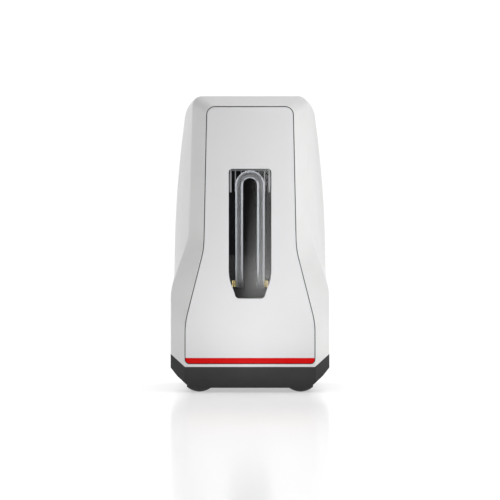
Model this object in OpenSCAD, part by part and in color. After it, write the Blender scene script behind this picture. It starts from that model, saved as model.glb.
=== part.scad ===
// Benchtop density meter with a glass U-tube behind a window in its front.
// Millimetres. X runs across the front, Y from front to back, Z up from the bench.
// Modules are written with y = 0 on the front face; place() centres the whole depth on the origin.

/* [Housing] */
// Height from the bench to the top of the housing
height = 127.5; // [125:0.5:140]
// Depth of the body from its front face to its back face
body_depth = 100; // [97:0.5:120]
// Width across the flared foot of the body
flare_w = 67.8; // [66:0.2:72]
// Greatest width of the trunk above the flare
trunk_w = 66.5; // [65:0.1:67.5]
// Width of the trunk at its top
trunk_top_w = 54.7; // [52:0.1:60]
// Height where the trunk starts to narrow
trunk_bow_z = 55; // [45:0.5:70]
// Distance from the front face to the widest part of the trunk
belly_y = 50; // [40:1:60]
// Thickness of the housing wall
wall = 2; // [1.6:0.1:2.4]
// Radius of the upright rear corners
rear_r = 7; // [5:0.5:7.5]
// Radius of the shoulders
shoulder_r = 9.5; // [5:0.5:10]
// How far the back leans in at the top
back_lean = 12; // [4:0.5:16]
// Height where the back starts to lean
back_lean_z = 96; // [95.5:0.5:110]

/* [Front chamfer] */
// Depth of the chamfer that frames the front face
chamfer_y = 6.2; // [5.5:0.1:8]
// Distance from the top of the housing down to the chamfer's upper edge
chamfer_drop = 1.3; // [0.8:0.1:2]
// Width across the chamfer's outer edge at the top
crease_neck_w = 49; // [47:0.2:51]
// Width across the chamfer's outer edge at its waist
crease_waist_w = 52.2; // [51:0.2:54]
// Height of the chamfer's waist
crease_waist_z = 66; // [62:0.5:72]
// Height where the chamfer's outer edge reaches the full flare
crease_flare_z = 44; // [38:0.5:48]
// Corner radius of the chamfer's outer edge
crease_r = 4; // [3:0.1:5]

/* [Fascia] */
// Width of the fascia at its top
neck_w = 36.4; // [35:0.2:38]
// Width of the fascia at its waist
waist_w = 39; // [38:0.2:42]
// Width of the fascia below its skirt
skirt_w = 54.9; // [52:0.1:55.5]
// Height of the fascia's waist
waist_z = 60.9; // [56:0.1:66]
// Height where the skirt reaches its full width
skirt_z = 29.6; // [24:0.1:34]
// Height of the fascia's lower edge
fascia_z = 12.3; // [12:0.1:13.5]
// Distance from the top of the housing down to the fascia's upper edge
fascia_drop = 6.2; // [5.5:0.1:7.5]
// Half the length over which each bend of the outlines is eased
bend = 4; // [2:0.5:6]
// Thickness of the fascia
fascia_t = 1.6; // [1.2:0.1:1.8]
// Gap around the fascia
seam = 0.35; // [0.2:0.05:0.5]
// Height of the accent strip under the fascia
strip_h = 2.3; // [1.5:0.1:4]

/* [Window] */
// Width of the window
window_w = 18.1; // [16:0.1:19]
// Height of the window's lower edge
window_z = 39.9; // [39:0.1:44]
// Height of the window's upper edge
window_top = 95.1; // [92:0.1:96]
// Height where the window starts to taper
window_taper_z = 48.6; // [46:0.1:54]
// Width lost on each side per millimetre of taper
window_taper = 0.383; // [0.2:0.01:0.5]
// Thickness of the window pane
pane_t = 1.2; // [0.8:0.1:1.4]
// Thickness of the window gasket
gasket_t = 0.8; // [0.6:0.1:1]

/* [Measuring cell] */
// Outer diameter of the glass tube
tube_od = 3.3; // [2.8:0.1:3.5]
// Bore of the glass tube
tube_id = 2.2; // [1.6:0.1:2.4]
// Distance between the tube's two legs
leg_pitch = 9.24; // [8.6:0.02:10]
// Height of the centre of the tube's top bend
bow_z = 88.35; // [80:0.05:89]
// Height of the tube's centre line where it runs back into the block
root_z = 46.1; // [45.5:0.1:47]
// Distance from the front face to the tube's legs
leg_y = 12; // [9:0.5:12.5]
// Bend radius at the tube's feet
foot_bend = 2.6; // [2.2:0.1:2.9]
// Length of tube that stands out behind the block
tube_stub = 8; // [6:0.5:10]
// Width inside the dark cell
cell_w = 20.4; // [19.6:0.2:22]
// Distance from the front face to the back of the cell
cell_y = 22; // [21.5:0.5:26]
// Wall of the cell
cell_wall = 2.4; // [2.2:0.1:3]
// Depth of the block that grips the tube
block_l = 12; // [9:0.5:16]

/* [Base] */
// Height of the underside of the tray above the bench
foot_h = 1.9; // [1.6:0.1:2.4]
// Thickness of the tray's floor
floor_t = 2; // [1.8:0.1:2.2]
// Height of the joint line between tray and housing at the front
parting_z = 10.8; // [10.2:0.1:11.2]
// Width of the joint line's raised stretch on each side
parting_in = 6.3; // [5:0.1:8]
// Rise of the joint line at the corners per millimetre across
parting_rise = 0.85; // [0.6:0.05:1]
// Width of the bevel on each side of the tray's flat underside
keel_in = 8.5; // [8:0.1:9]
// Rise of the tray's bevelled sides per millimetre across
keel_rise = 0.88; // [0.8:0.02:0.96]
// Distance from the flared sides to the knee where the bevel turns steeper
knee_in = 2.8; // [2.4:0.1:3.2]
// Rise of the bevel above its knee per millimetre across
knee_rise = 1.2; // [1.1:0.02:1.3]
// Height of the lip that locates the housing
lip_h = 2.2; // [1.5:0.1:3]
// Distance from the flared sides to the middle of the feet
foot_side = 12.3; // [12:0.1:12.8]
// Distance from the front and back faces to the feet
foot_inset = 8; // [7.5:0.1:9]
// Radius of a foot
foot_r = 5.4; // [4.8:0.05:5.5]

/* [Battery bay] */
// Diameter of one cell of the battery
battery_d = 10.5; // [10:0.1:10.6]
// Length of one cell of the battery, with its button
battery_l = 44.5; // [43.5:0.1:44.8]
// Space between two cells
battery_gap = 0.8; // [0.7:0.1:1.2]
// Height of the bay's floor
bay_z = 20; // [19.6:0.1:20.4]
// Width inside the bay
bay_w = 50.4; // [50:0.1:50.6]
// Wall of the bay
bay_wall = 1.6; // [1.2:0.1:1.8]
// Thickness of the battery door
door_t = 2; // [1.8:0.1:2.2]
// Gap around the battery door
door_gap = 0.3; // [0.25:0.05:0.4]
// Radius of the door's hinge barrel
barrel_r = 1.6; // [1.5:0.05:1.7]
// Radius of the hinge pin
pin_r = 0.7; // [0.5:0.05:0.8]

/* [Rear panel] */
// Width of the rear panel's face
panel_w = 44; // [43:0.2:45]
// Height of the lower edge of the rear panel's face
panel_z = 62; // [61.6:0.1:62.6]
// Height of the upper edge of the rear panel's face
panel_top = 90.6; // [90:0.1:91]
// Thickness of the rear panel's backing flange
flange_t = 1.6; // [1.2:0.1:1.8]
// Distance from the middle to each port
port_x = 14.5; // [14:0.1:15]
// Height of the ports
port_z = 69; // [68.5:0.1:69.5]
// Length of a port outside the panel
port_out = 7; // [6:0.5:9]
// Wall radius of a port's bore
port_bore_r = 2.03; // [1.95:0.01:2.15]
// Depth of a port's bore
port_bore_l = 7.5; // [7.5:0.1:9]
// Height of the power button
button_z = 79.5; // [79:0.1:80]
// Radius of the power button
button_r = 5.05; // [4:0.05:5.3]
// Distance that the power button stands out
button_out = 1; // [0.8:0.1:1.6]
// Travel of the power button
button_travel = 0.7; // [0.4:0.05:0.8]
// Height of the status light
light_z = 88.3; // [88.1:0.1:88.6]

/* [Boards] */
// Thickness of the circuit boards
board_t = 1.6; // [1:0.1:1.6]
// Width of the main board
board_w = 47; // [44:0.5:47]
// Height of the main board's lower edge
board_z = 18; // [17.5:0.1:19]
// Height of the main board's upper edge
board_top = 62; // [60.5:0.1:62]

/* [Fits] */
// Clearance around screws, pins and the tube where they are held
hold_gap = 0.05; // [0.02:0.01:0.1]
// Radial clearance of the hinge pin in the door
hinge_gap = 0.05; // [0.03:0.01:0.08]
// Clearance around parts that drop into a recess
drop_gap = 0.2; // [0.15:0.05:0.3]
// Clearance around the power button
button_gap = 0.15; // [0.1:0.05:0.2]

/* [Hidden] */
$fn = 48;

// Housing outlines
plateau_rim = 0.5;
plateau_drop = fascia_drop - plateau_rim;
plateau_r = 3.8;
plateau_inset = 0.3;
chamfer_share = 0.45;
ledge_behind_fascia = 1.8;
front_wall_y = fascia_t + ledge_behind_fascia;
n_bend = 14;
n_upper = 3;
n_arc = 4;
n_flank = 3;
n_corner = 4;
// Overrun of a cut past the face it starts from
past = 1;
cell_boss_r = 2.5;
stake_r = 1;
stake_tip = 0.6;
// Width and depth of the lugs that hold the door's pin
hinge_lug = [4, 2];
hinge_lug_in = 1.4;
hinge_pad = 3;
lug_sink = 0.5;
tray_boss_r = 3;
web_t = 1.6;
web_drop = 5;
joint_run = 12;

// Fascia and window
fascia_r = 3.4;
fascia_foot_r = 1.7;
window_r = 1.5;
window_foot_r = 2;
window_bend = 3;
pane_margin = 1.7;
gasket_in = 0.4;
gasket_y = fascia_t + pane_t;
cell_front_y = gasket_y + gasket_t;

// Measuring cell
tube_r = tube_od / 2;
leg_x = leg_pitch / 2;
bend_y = leg_y + foot_bend;
bend_z = root_z + foot_bend;
cell_room = 1.4;
cell_floor_z = window_z - cell_room;
cell_top_z = window_top + cell_room;
ledge_over_bend = 1.5;
ledge_z = bend_z + ledge_over_bend;
lug_over = 2.6;
lug_w = cell_w + lug_over;
lug_t = 2;
lug_h = 9.6;
lug_set = 3;
lug_y = front_wall_y + lug_set;
lug_x = 8;
lug_top_z = cell_top_z + cell_wall / 2 + lug_h / 2;
lug_low_z = cell_floor_z - cell_wall / 2 - lug_h / 2;
block_w = 24;
block_h = 11;
block_screw_out = 4.98;
block_screw_x = leg_x + block_screw_out;
block_screw_in = 4.7;
lug_screw_in = 3.5;
block_back = cell_y + block_l;
stub_end = block_back + tube_stub;
sensor_r = 1.1;
sensor_z = root_z - sensor_r;
sensor_y = cell_y + block_l / 2;
brass_r = 0.9;
brass_h = 2.8;
brass_tail = 2.8;
ledge_y = bend_y + brass_r;
// Start and height of the pins' groove as shares of their height, and its radius as a share of theirs
groove = [0.42, 0.16, 0.75];
piezo_size = [6, 8, 0.4];
// Radius and thickness of the piezo's disc
piezo_disc = [2.4, 0.4];
probe_l = 9;
// Radius, length and offset of the temperature sensor's wires
probe_wire = [0.2, 3, 0.4];
pin_x = leg_x + tube_r + brass_r / 2 + hold_gap;
pin_y = leg_y - tube_r - brass_r - 2 * hold_gap;
pin_drop = 0.1;
pin_z = root_z - pin_drop;

// Screws: shank radius, head radius and head height of the two sizes used
m2 = [1, 1.9, 1.4];
m16 = [0.8, 1.5, 1];
socket = 0.85;

// Sensor board
sboard_w = 21;
sboard_margin = [5.8, 4.5];
sboard_z = [ledge_z + sboard_margin[0], cell_top_z - sboard_margin[1]];
sboard_screw_x = 7.5;
sboard_inset = 3.5;
sboard_screw_in = 1.6;
flex_w = 8;
flex_t = 0.3;
flex_steps = 20;
sconn = [11, 2.5, 4.5];
sconn_rise = 12;
sconn_z = sboard_z[0] + sconn_rise;

// Rear panel and what it carries
back = body_depth;
panel_t = wall;
flange_margin = 3.8;
flange_y = back - panel_t - flange_t;
panel_r = 3;
flange_side = 2;
stake_x = 17;
stake_z = [panel_z - flange_margin / 2, panel_top + flange_margin / 2];
pocket_r = 7;
collar_r = 6.2;
collar_t = 0.95;
collar_y = back - panel_t - hold_gap - collar_t;
// Radius and thickness of a port's flange
port_flange = [5, 1.4];
port_shank_r = 3;
port_shank_l = 3.4;
port_shank_y = flange_y - port_shank_l;
port_tail_l = 5;
port_tail_r = tube_r;
port_tail_bore_r = 0.9;
port_barrel_r = 3.3;
// Radius and width of the collar at a port's mouth
port_collar = [3.9, 1.2];
nut_t = 2.5;
nut_r = 4.6;
seal_r = 4;
seal_wire = 0.45;
seal_room = 0.6;
bboard_post_l = 6.8;
bboard_post_r = 2.2;
bboard_y = flange_y - bboard_post_l - board_t;
bboard_back = bboard_y + board_t;
bboard_w = 22.4;
bboard_screw_in = 4.5;
// Reach of the button's board, and of its posts, below and above the button
bboard_reach = [7.7, 11.5];
bboard_post_reach = [5.1, 6.1];
bboard_z = [button_z - bboard_reach[0], button_z + bboard_reach[1]];
bboard_post_x = 8.7;
bboard_post_z = [button_z - bboard_post_reach[0], button_z + bboard_post_reach[1]];
switch_t = 3;
switch_w = 6.2;
switch_floor = 0.4;
plunger_r = 1.2;
plunger_y = [for (y = [switch_floor, switch_t]) bboard_back + y + drop_gap + button_travel];
stem_r = 2;
dish_r = 11.6;
dish_drop = 0.6;
light_r = 1;
led_w = 2;
led_t = 1.3;
led_gap = 0.3;
cable_w = 6;
// How far the ribbon laps over the boards at its ends
cable_in = 3;
cable_steps = 12;

// Battery bay, door and hinge
pitch = battery_d + battery_gap;
bay_depth = 12.6;
rim_gap = 1.8;
bay_h = 3 * pitch;
bay_top = bay_z + bay_h;
bay_rim_y = back - wall - rim_gap;
bay_y = bay_rim_y - bay_depth;
battery_y = bay_y + battery_d / 2 + drop_gap;
// How far the door's opening is wider and higher than the bay, on each side
door_over = [0.2, 0.6];
// Distance of the door's ribs from the hinge, their depth and their height
door_rib = [8, 1.2, 1.6];
// Thumb hollow: distance from the free edge, radius, depth and height
thumb = [6, 8, 1.2, 14];
door_w = bay_w + 2 * door_over[0];
door_z = [bay_z - door_over[1], bay_top + door_over[1]];
hinge_x = -door_w / 2 + door_gap + barrel_r;
hinge_y = back - barrel_r;
shelf_end = 6;
shelf_y = 1.5;
shelf_gap = 0.1;
frame_floor_z = 12;
frame_floor_t = 2;
frame_edge = 4;
// Radius and height of the frame's screw posts
frame_post = [2.6, 5];
pillar_r = 2.4;
pillar_hole = 4;
pillar_l = 4.4;

// Battery cells and contacts
lead_r = 0.6;
button_l = 1;
plate_t = 0.4;
plate_w = 8.4;
spring_end = battery_l + plate_t - bay_w / 2;

// Main board
pillar_y = bay_y - bay_wall - pillar_l;
board_y = pillar_y - board_t;
pillar_x = 20;
board_screw_in = 3;
mconn = [11, 2.5, 4.5];
mconn_drop = 11;
mconn_z = board_top - mconn_drop;
bconn = [8, 1.6, 4.5];
bconn_drop = 0.5;
lconn = [5, 3, 4];
lconn_rise = 3;
// Distance of the pillars from the board's lower and upper edges
pillar_inset = [6, 10];
pillar_z = [board_z + pillar_inset[0], min(board_top - pillar_inset[1], bay_top - pillar_r / 2)];
// Width, thickness and height of the parts on the board, and where two of them are
chip = [10, 1.4, 10];
chip_at = [-11, 14];
radio = [13, 0.8, 18];
radio_at = [11, 13];
can = [11, 1.8, 11];
can_rise = 1;
// Half the distance between the leads at the bay and at the board, and their height above the board's edge
lead_turn = [3, 1.4, 13];
lead_steps = 6;
lead_run = 0.8;
lead_sides = 8;
spring_r = [3.4, 2.2];
nub_r = 1.9;

// Hoses
hose_wall = 0.8;
hose_sides = 12;
hose_steps = 12;
hose_straight = 1;
hose_ir = tube_r / cos(180 / hose_sides) + hold_gap;

// Base and its fasteners
parting_x = flare_w / 2 - parting_in;
keel_x = flare_w / 2 - keel_in;
knee_x = flare_w / 2 - knee_in;
foot_x = flare_w / 2 - foot_side;
lip_t = 1.4;
tray_side = 0.8;
foot_stub = 1.2;
foot_flat = 0.15;
// Height of a foot's dome, the radius of its arc and the angle that the arc covers
foot_dome = 2;
dome_arc_r = (foot_r ^ 2 + foot_dome ^ 2) / (2 * foot_dome);
dome_turn = asin(foot_r / dome_arc_r);
dome_steps = 5;
post_r = 3.2;
counter_gap = 0.25;
counter_r = m2[1] + counter_gap;
head_in = 1.4;
head_z = foot_h + head_in;
boss_side = 11.6;
boss_x = flare_w / 2 - boss_side;
boss_front = 22;
boss_back = 6;
boss_y = [boss_front, board_y - boss_back];
boss_h = 14;
boss_rise = 1.2;
boss_z = parting_z + boss_rise;
frame_screw_l = 11;
housing_screw_l = 16;
frame_screw_x = [14, 9];
frame_screw_in = [14, 10];
frame_screw_y = [board_y - frame_screw_in[0], back - frame_screw_in[1]];

function facing(i) = i == 2 ? -1 : 1;
function battery_z(i) = bay_z + battery_gap / 2 + battery_d / 2 + (i - 1) * pitch;
function lerp(a, b, t) = a + (b - a) * t;
function smooth(t) = t * t * (3 - 2 * t);
function unit(v) = v / norm(v);

// 0 below -soft and t above soft, joined by a parabola
function ramp(t, soft) =
  t <= -soft ? 0 : t >= soft ? t : pow(t + soft, 2) / (4 * soft);

// Half width at height z of an outline given by [half width, height] at neck, waist and skirt
function bottle_x(z, neck, waist, skirt) =
  let(neck_slope = (waist[0] - neck[0]) / (neck[1] - waist[1]),
      skirt_slope = (skirt[0] - waist[0]) / (waist[1] - skirt[1]))
  neck[0] + neck_slope * (neck[1] - z)
  + (skirt_slope - neck_slope) * ramp(waist[1] - z, bend)
  - skirt_slope * ramp(skirt[1] - z, bend);

function fascia_x(z) =
  bottle_x(z, [neck_w / 2, height - fascia_drop], [waist_w / 2, waist_z], [skirt_w / 2, skirt_z]);

function crease_x(z) =
  bottle_x(z, [crease_neck_w / 2, height - chamfer_drop], [crease_waist_w / 2, crease_waist_z],
           [flare_w / 2, crease_flare_z]);

function trunk_x(z) =
  (trunk_w - (trunk_w - trunk_top_w) * pow(max(0, z - trunk_bow_z) / (height - trunk_bow_z), 2)) / 2;

function window_x(z) =
  window_w / 2 - window_taper * ramp(window_taper_z - z, window_bend);

// Heights at which the outlines are sampled, up to a top height
function levels(low, top) = concat(
  [low],
  [for (i = [0 : n_bend]) lerp(skirt_z - bend, crease_waist_z + bend, i / n_bend)],
  [for (i = [1 : n_upper]) lerp(crease_waist_z + bend, back_lean_z, i / n_upper)],
  [for (i = [1 : n_upper]) lerp(back_lean_z, top, i / n_upper)]
);

// Share of the way from the crease to the belly of the trunk
function ease(u) = 1 - (1 - u) * (1 - u);

// Outline of one upright slice; u is -1 on the front plateau, 0 on the crease, 1 on the belly
function slice_x(z, u) =
  u < 0 ? fascia_x(z) + plateau_rim : lerp(crease_x(z), trunk_x(z), ease(u));
function slice_top(u) =
  u < 0 ? height - plateau_drop : height - chamfer_drop * (1 - ease(u));
function slice_r(u) = u < 0 ? plateau_r : lerp(crease_r, shoulder_r, ease(u));

// The right half of a slice, drawn in by inset, from the joint line up to the top
function half_slice(u, inset) =
  let(r = max(slice_r(u) - inset, 0.6),
      top = slice_top(u) - inset,
      lean = atan(slice_x(top - r - 1, u) - slice_x(top - r, u)),
      arc_z = top - r * (1 - sin(lean)),
      cx = slice_x(arc_z, u) - inset - r * cos(lean))
  concat(
    [for (z = levels(parting_z, arc_z)) [slice_x(z, u) - inset, z]],
    [for (i = [1 : n_arc])
      let(a = lerp(lean, 90, i / n_arc)) [cx + r * cos(a), top - r + r * sin(a)]]
  );

// Depth of a point: behind the belly the body is squeezed as the back leans in
function leaned_y(y, z) =
  let(lean = back_lean * pow(max(0, z - back_lean_z) / (height - back_lean_z), 2))
  y <= belly_y ? y : belly_y + (y - belly_y) * (body_depth - lean - belly_y) / (body_depth - belly_y);

// Slices from front to back as [depth, u, inset] for a surface that lies t inside the skin
function slices(t) = concat(
  [[t > 0 ? front_wall_y + t - wall : 0, -1, t > 0 ? plateau_inset + chamfer_share * (t - wall) : 0]],
  [for (i = [0 : n_flank]) [lerp(chamfer_y + chamfer_share * t, belly_y, i / n_flank), i / n_flank, t]],
  [for (i = [0 : n_corner])
    let(a = 90 * i / n_corner, r = rear_r - t) [body_depth - rear_r + r * sin(a), 1, t + r * (1 - cos(a))]]
);

// All points of one surface, slice by slice, right side up and left side down
function surface_points(t) = [
  for (s = slices(t))
    let(half = half_slice(s[1], s[2]), n = len(half))
    for (i = [0 : 2 * n - 1])
      let(p = i < n ? half[i] : half[2 * n - 1 - i])
      [i < n ? p[0] : -p[0], leaned_y(s[0], p[1]), p[1]]
];

function quad(a, b, c, d) = [[a, b, c], [a, c, d]];

// Closed shell between the skin and the surface t inside it, open at the bottom
module shell(t) {
  outer = surface_points(0);
  inner = surface_points(t);
  n_slice = len(slices(0));
  m = len(outer) / n_slice;
  h = m / 2;
  in0 = len(outer);
  last = (n_slice - 1) * m;
  skin = [
    for (s = [0 : n_slice - 2], i = [0 : m - 2])
      each quad(s * m + i, s * m + i + 1, (s + 1) * m + i + 1, (s + 1) * m + i)
  ];
  caps = [
    for (i = [0 : h - 2])
      each concat(quad(m - 1 - i, m - 2 - i, i + 1, i),
                  quad(last + i, last + i + 1, last + m - 2 - i, last + m - 1 - i))
  ];
  inside = [for (f = concat(skin, caps)) [f[2] + in0, f[1] + in0, f[0] + in0]];
  rim = concat(
    [for (s = [0 : n_slice - 2])
      let(r = s * m, r2 = (s + 1) * m, l = r + m - 1, l2 = r2 + m - 1)
      each concat(quad(r, r2, in0 + r2, in0 + r), quad(in0 + l, in0 + l2, l2, l))],
    quad(0, in0, in0 + m - 1, m - 1),
    quad(in0 + last, last, last + m - 1, in0 + last + m - 1)
  );
  polyhedron(concat(outer, inner), concat(skin, caps, inside, rim), convexity = 8);
}

// Plan at the joint line of the surface that lies t inside the skin
module plan(t) {
  half = [for (v = slices(t)) [slice_x(parting_z, v[1]) - v[2], v[0]]];
  mirrored_outline(half);
}

// Outline of the fascia, let out by grow
module fascia_outline(grow) {
  r = fascia_foot_r + grow;
  rt = fascia_r + grow;
  low = fascia_z - grow;
  top = height - fascia_drop + grow;
  half = concat(
    [for (a = [-90 : 30 : 0]) [skirt_w / 2 + grow - r + r * cos(a), low + r + r * sin(a)]],
    [for (i = [0 : n_bend])
      let(z = lerp(skirt_z - bend, waist_z + bend, i / n_bend)) [fascia_x(z) + grow, z]],
    [for (a = [0 : 15 : 90]) [fascia_x(top - rt) + grow - rt + rt * cos(a), top - rt + rt * sin(a)]]
  );
  mirrored_outline(half);
}

// Outline of the window, let out by grow
module window_outline(grow) {
  r = window_foot_r + grow;
  rt = window_r + grow;
  low = window_z - grow;
  top = window_top + grow;
  foot_x0 = window_x(window_z + window_foot_r) + grow;
  taper_top = window_taper_z + window_bend;
  half = concat(
    [for (a = [-90 : 15 : 0]) [foot_x0 - r + r * cos(a), low + r + r * sin(a)]],
    [for (i = [1 : 6]) let(z = lerp(low + r, taper_top, i / 6)) [window_x(z) + grow, z]],
    [for (a = [0 : 22.5 : 90]) [window_w / 2 + grow - rt + rt * cos(a), top - rt + rt * sin(a)]]
  );
  mirrored_outline(half);
}

module mirrored_outline(half) {
  n = len(half);
  polygon(concat(half, [for (i = [n - 1 : -1 : 0]) [-half[i][0], half[i][1]]]));
}

// Puts the body's depth, ports included, centrally over the origin
module place() {
  translate([0, -(body_depth + port_out) / 2, 0]) children();
}

// An XZ drawing made solid from depth y0 to depth y1
module along_y(y0, y1) {
  translate([0, y1, 0]) rotate([90, 0, 0]) linear_extrude(height = y1 - y0) children();
}

module rod_y(r, y0, y1) {
  translate([0, y0, 0]) rotate([-90, 0, 0]) cylinder(r = r, h = y1 - y0);
}

module rod_x(r, x0, x1) {
  translate([x0, 0, 0]) rotate([0, 90, 0]) cylinder(r = r, h = x1 - x0);
}

// Box centred on x = 0
module block(w, y, z) {
  translate([-w / 2, y[0], z[0]]) cube([w, y[1] - y[0], z[1] - z[0]]);
}

module rounded(w, z0, z1, r) {
  translate([-w / 2 + r, z0]) square([w - 2 * r, z1 - z0]);
  translate([-w / 2, z0 + r]) square([w, z1 - z0 - 2 * r]);
  for (x = [-1, 1], z = [z0 + r, z1 - r]) translate([x * (w / 2 - r), z]) circle(r = r);
}

// Screw of size [shank radius, head radius, head height], head seated at z = 0, shank downward
module screw(size, length) {
  difference() {
    union() {
      cylinder(r = size[1], h = size[2]);
      translate([0, 0, -length]) cylinder(r = size[0], h = length);
    }
    translate([0, 0, size[2] / 2]) cylinder(r = size[0] * socket, h = size[2], $fn = 6);
  }
}

// Screw along the depth, head toward the back and shank toward the front
module screw_back(size, y, length) {
  translate([0, y, 0]) rotate([-90, 0, 0]) screw(size, length);
}

// Screw along the depth, head toward the front and shank toward the back
module screw_front(size, y, length) {
  translate([0, y, 0]) rotate([90, 0, 0]) screw(size, length);
}

// Tube swept along a path of points; a bore of 0 makes it solid
function heading(path, i) = unit(path[min(i + 1, len(path) - 1)] - path[max(i - 1, 0)]);
function ring(c, t, r, n) =
  let(a = unit(cross(t, [1, 0, 0])), b = cross(t, a))
  [for (k = [0 : n - 1]) c + r * (cos(360 * k / n) * a + sin(360 * k / n) * b)];

module swept_tube(path, r, bore, n) {
  last = len(path) - 1;
  walls = bore > 0 ? [r, bore] : [r];
  points = [for (w = walls, i = [0 : last]) each ring(path[i], heading(path, i), w, n)];
  in0 = (last + 1) * n;
  outer = [
    for (i = [0 : last - 1], k = [0 : n - 1])
      let(k2 = (k + 1) % n) each quad(i * n + k, (i + 1) * n + k, (i + 1) * n + k2, i * n + k2)
  ];
  inner = [for (f = outer) [f[2] + in0, f[1] + in0, f[0] + in0]];
  end0 = last * n;
  rims = [
    for (k = [0 : n - 1])
      let(k2 = (k + 1) % n)
      each concat(quad(k, k2, in0 + k2, in0 + k), quad(in0 + end0 + k, in0 + end0 + k2, end0 + k2, end0 + k))
  ];
  disks = [[for (k = [0 : n - 1]) k], [for (k = [n - 1 : -1 : 0]) end0 + k]];
  polyhedron(points, bore > 0 ? concat(outer, inner, rims) : concat(outer, disks), convexity = 6);
}

// ---- Front ----

module housing() {
  color("white") place() difference() {
    union() {
      shell(wall);
      cell_bosses();
      for (x = [-1, 1], y = boss_y) tray_boss(x, y);
      for (z = [door_z[0] - hinge_pad - lug_sink, door_z[1] - lug_sink])
        translate([hinge_x - hinge_lug[0] / 2, back - wall - hinge_lug_in, z])
          cube([hinge_lug[0], hinge_lug[1], hinge_pad + 2 * lug_sink]);
      for (x = [-stake_x, stake_x], z = stake_z)
        translate([x, 0, z]) rod_y(stake_r, flange_y - stake_tip, back - wall / 2);
    }
    along_y(-past, fascia_t) fascia_outline(seam);
    along_y(fascia_t - past / 2, front_wall_y + past / 2) window_outline(pane_margin + seam);
    along_y(-past, back + past) parting_cut();
    for (x = [-lug_x, lug_x], z = [lug_low_z, lug_top_z])
      translate([x, 0, z]) rod_y(m2[0] + hold_gap, front_wall_y - past, lug_y + past);
    for (x = [-boss_x, boss_x], y = boss_y)
      translate([x, y, boss_z - past]) cylinder(r = m2[0] + hold_gap, h = boss_h - past);
    block(door_w, [back - wall - 3 * past, back + past], door_z);
    translate([hinge_x, hinge_y, door_z[0] - hinge_pad])
      cylinder(r = pin_r + hold_gap / 2, h = door_z[1] - door_z[0] + 2 * hinge_pad);
    along_y(back - wall - past / 2, back + past)
      rounded(panel_w + 2 * drop_gap, panel_z - drop_gap, panel_top + drop_gap, panel_r);
  }
}

// Short posts behind the front wall that take the cell's screws
module cell_bosses() {
  for (x = [-lug_x, lug_x], z = [lug_low_z, lug_top_z])
    translate([x, 0, z]) rod_y(cell_boss_r, front_wall_y - wall / 4, lug_y);
}

// Screw post with a web out to the side wall
module tray_boss(side, y) {
  web_x = slice_x(parting_z, ease_at(y)) - wall / 2;
  translate([side * boss_x, y, boss_z]) cylinder(r = tray_boss_r, h = boss_h);
  translate([side > 0 ? boss_x : -web_x, y - web_t / 2, boss_z + web_drop])
    cube([web_x - boss_x, web_t, boss_h - web_drop]);
}

function ease_at(y) = min(1, max(0, (y - chamfer_y) / (belly_y - chamfer_y)));

// What lies under the joint line between housing and tray
module parting_cut() {
  for (side = [-1, 1])
    polygon([
      [side * parting_x, parting_z - joint_run], [side * parting_x, parting_z],
      [side * (parting_x + joint_run), parting_z + joint_run * parting_rise],
      [side * (parting_x + joint_run), parting_z - joint_run]
    ]);
}

module front_fascia() {
  color([0.87, 0.87, 0.88]) place() along_y(0, fascia_t) difference() {
    intersection() {
      fascia_outline(0);
      translate([-flare_w, fascia_z + strip_h]) square([2 * flare_w, height]);
    }
    window_outline(0);
  }
}

module accent_strip() {
  color([0.8, 0.04, 0.03]) place() along_y(0, fascia_t) intersection() {
    fascia_outline(0);
    translate([-flare_w, 0]) square([2 * flare_w, fascia_z + strip_h - hold_gap]);
  }
}

module window_pane() {
  color([0.6, 0.65, 0.7, 0.3]) place() along_y(fascia_t, gasket_y) window_outline(pane_margin);
}

module window_gasket() {
  color([0.1, 0.1, 0.1]) place() along_y(gasket_y, cell_front_y) difference() {
    window_outline(pane_margin);
    window_outline(gasket_in);
  }
}

// ---- Measuring cell ----

module cell_housing() {
  outer_w = cell_w + 2 * cell_wall;
  color([0.12, 0.12, 0.13]) place() difference() {
    union() {
      block(outer_w, [cell_front_y, cell_y], [cell_floor_z - cell_wall / 2, cell_top_z + cell_wall / 2]);
      for (z = [lug_low_z, lug_top_z])
        block(lug_w, [lug_y, lug_y + lug_t], [z - lug_h / 2, z + lug_h / 2]);
    }
    difference() {
      block(cell_w, [cell_front_y - past, cell_y - cell_wall], [cell_floor_z, cell_top_z]);
      block(cell_w + past, [ledge_y, cell_y], [cell_floor_z - past, ledge_z]);
    }
    for (x = [-lug_x, lug_x], z = [lug_low_z, lug_top_z])
      translate([x, 0, z]) rod_y(m2[0] + hold_gap, lug_y - past, lug_y + lug_t + past);
    for (x = [-leg_x, leg_x])
      translate([x, 0, root_z]) rod_y(tube_r + drop_gap, ledge_y - past, cell_y + past);
    for (x = [-pin_x, pin_x])
      translate([x, 0, pin_z]) rod_y(brass_r / 2 + hold_gap, ledge_y - past, ledge_y + brass_tail + drop_gap);
    for (x = [-block_screw_x, block_screw_x])
      translate([x, 0, root_z]) rod_y(m2[0] + hold_gap, cell_y - block_screw_in - drop_gap, cell_y + past);
    for (x = [-sboard_screw_x, sboard_screw_x], z = [sboard_z[0] + sboard_inset, sboard_z[1] - sboard_inset])
      translate([x, 0, z]) rod_y(m16[0] + hold_gap, cell_y - sboard_screw_in - drop_gap, cell_y + past);
  }
}

module cell_screws() {
  color("silver") place()
    for (x = [-lug_x, lug_x], z = [lug_low_z, lug_top_z])
      translate([x, 0, z]) screw_back(m2, lug_y + lug_t, lug_t + lug_screw_in);
}

module tube_section() {
  difference() {
    circle(r = tube_r);
    circle(r = tube_id / 2);
  }
}

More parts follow.
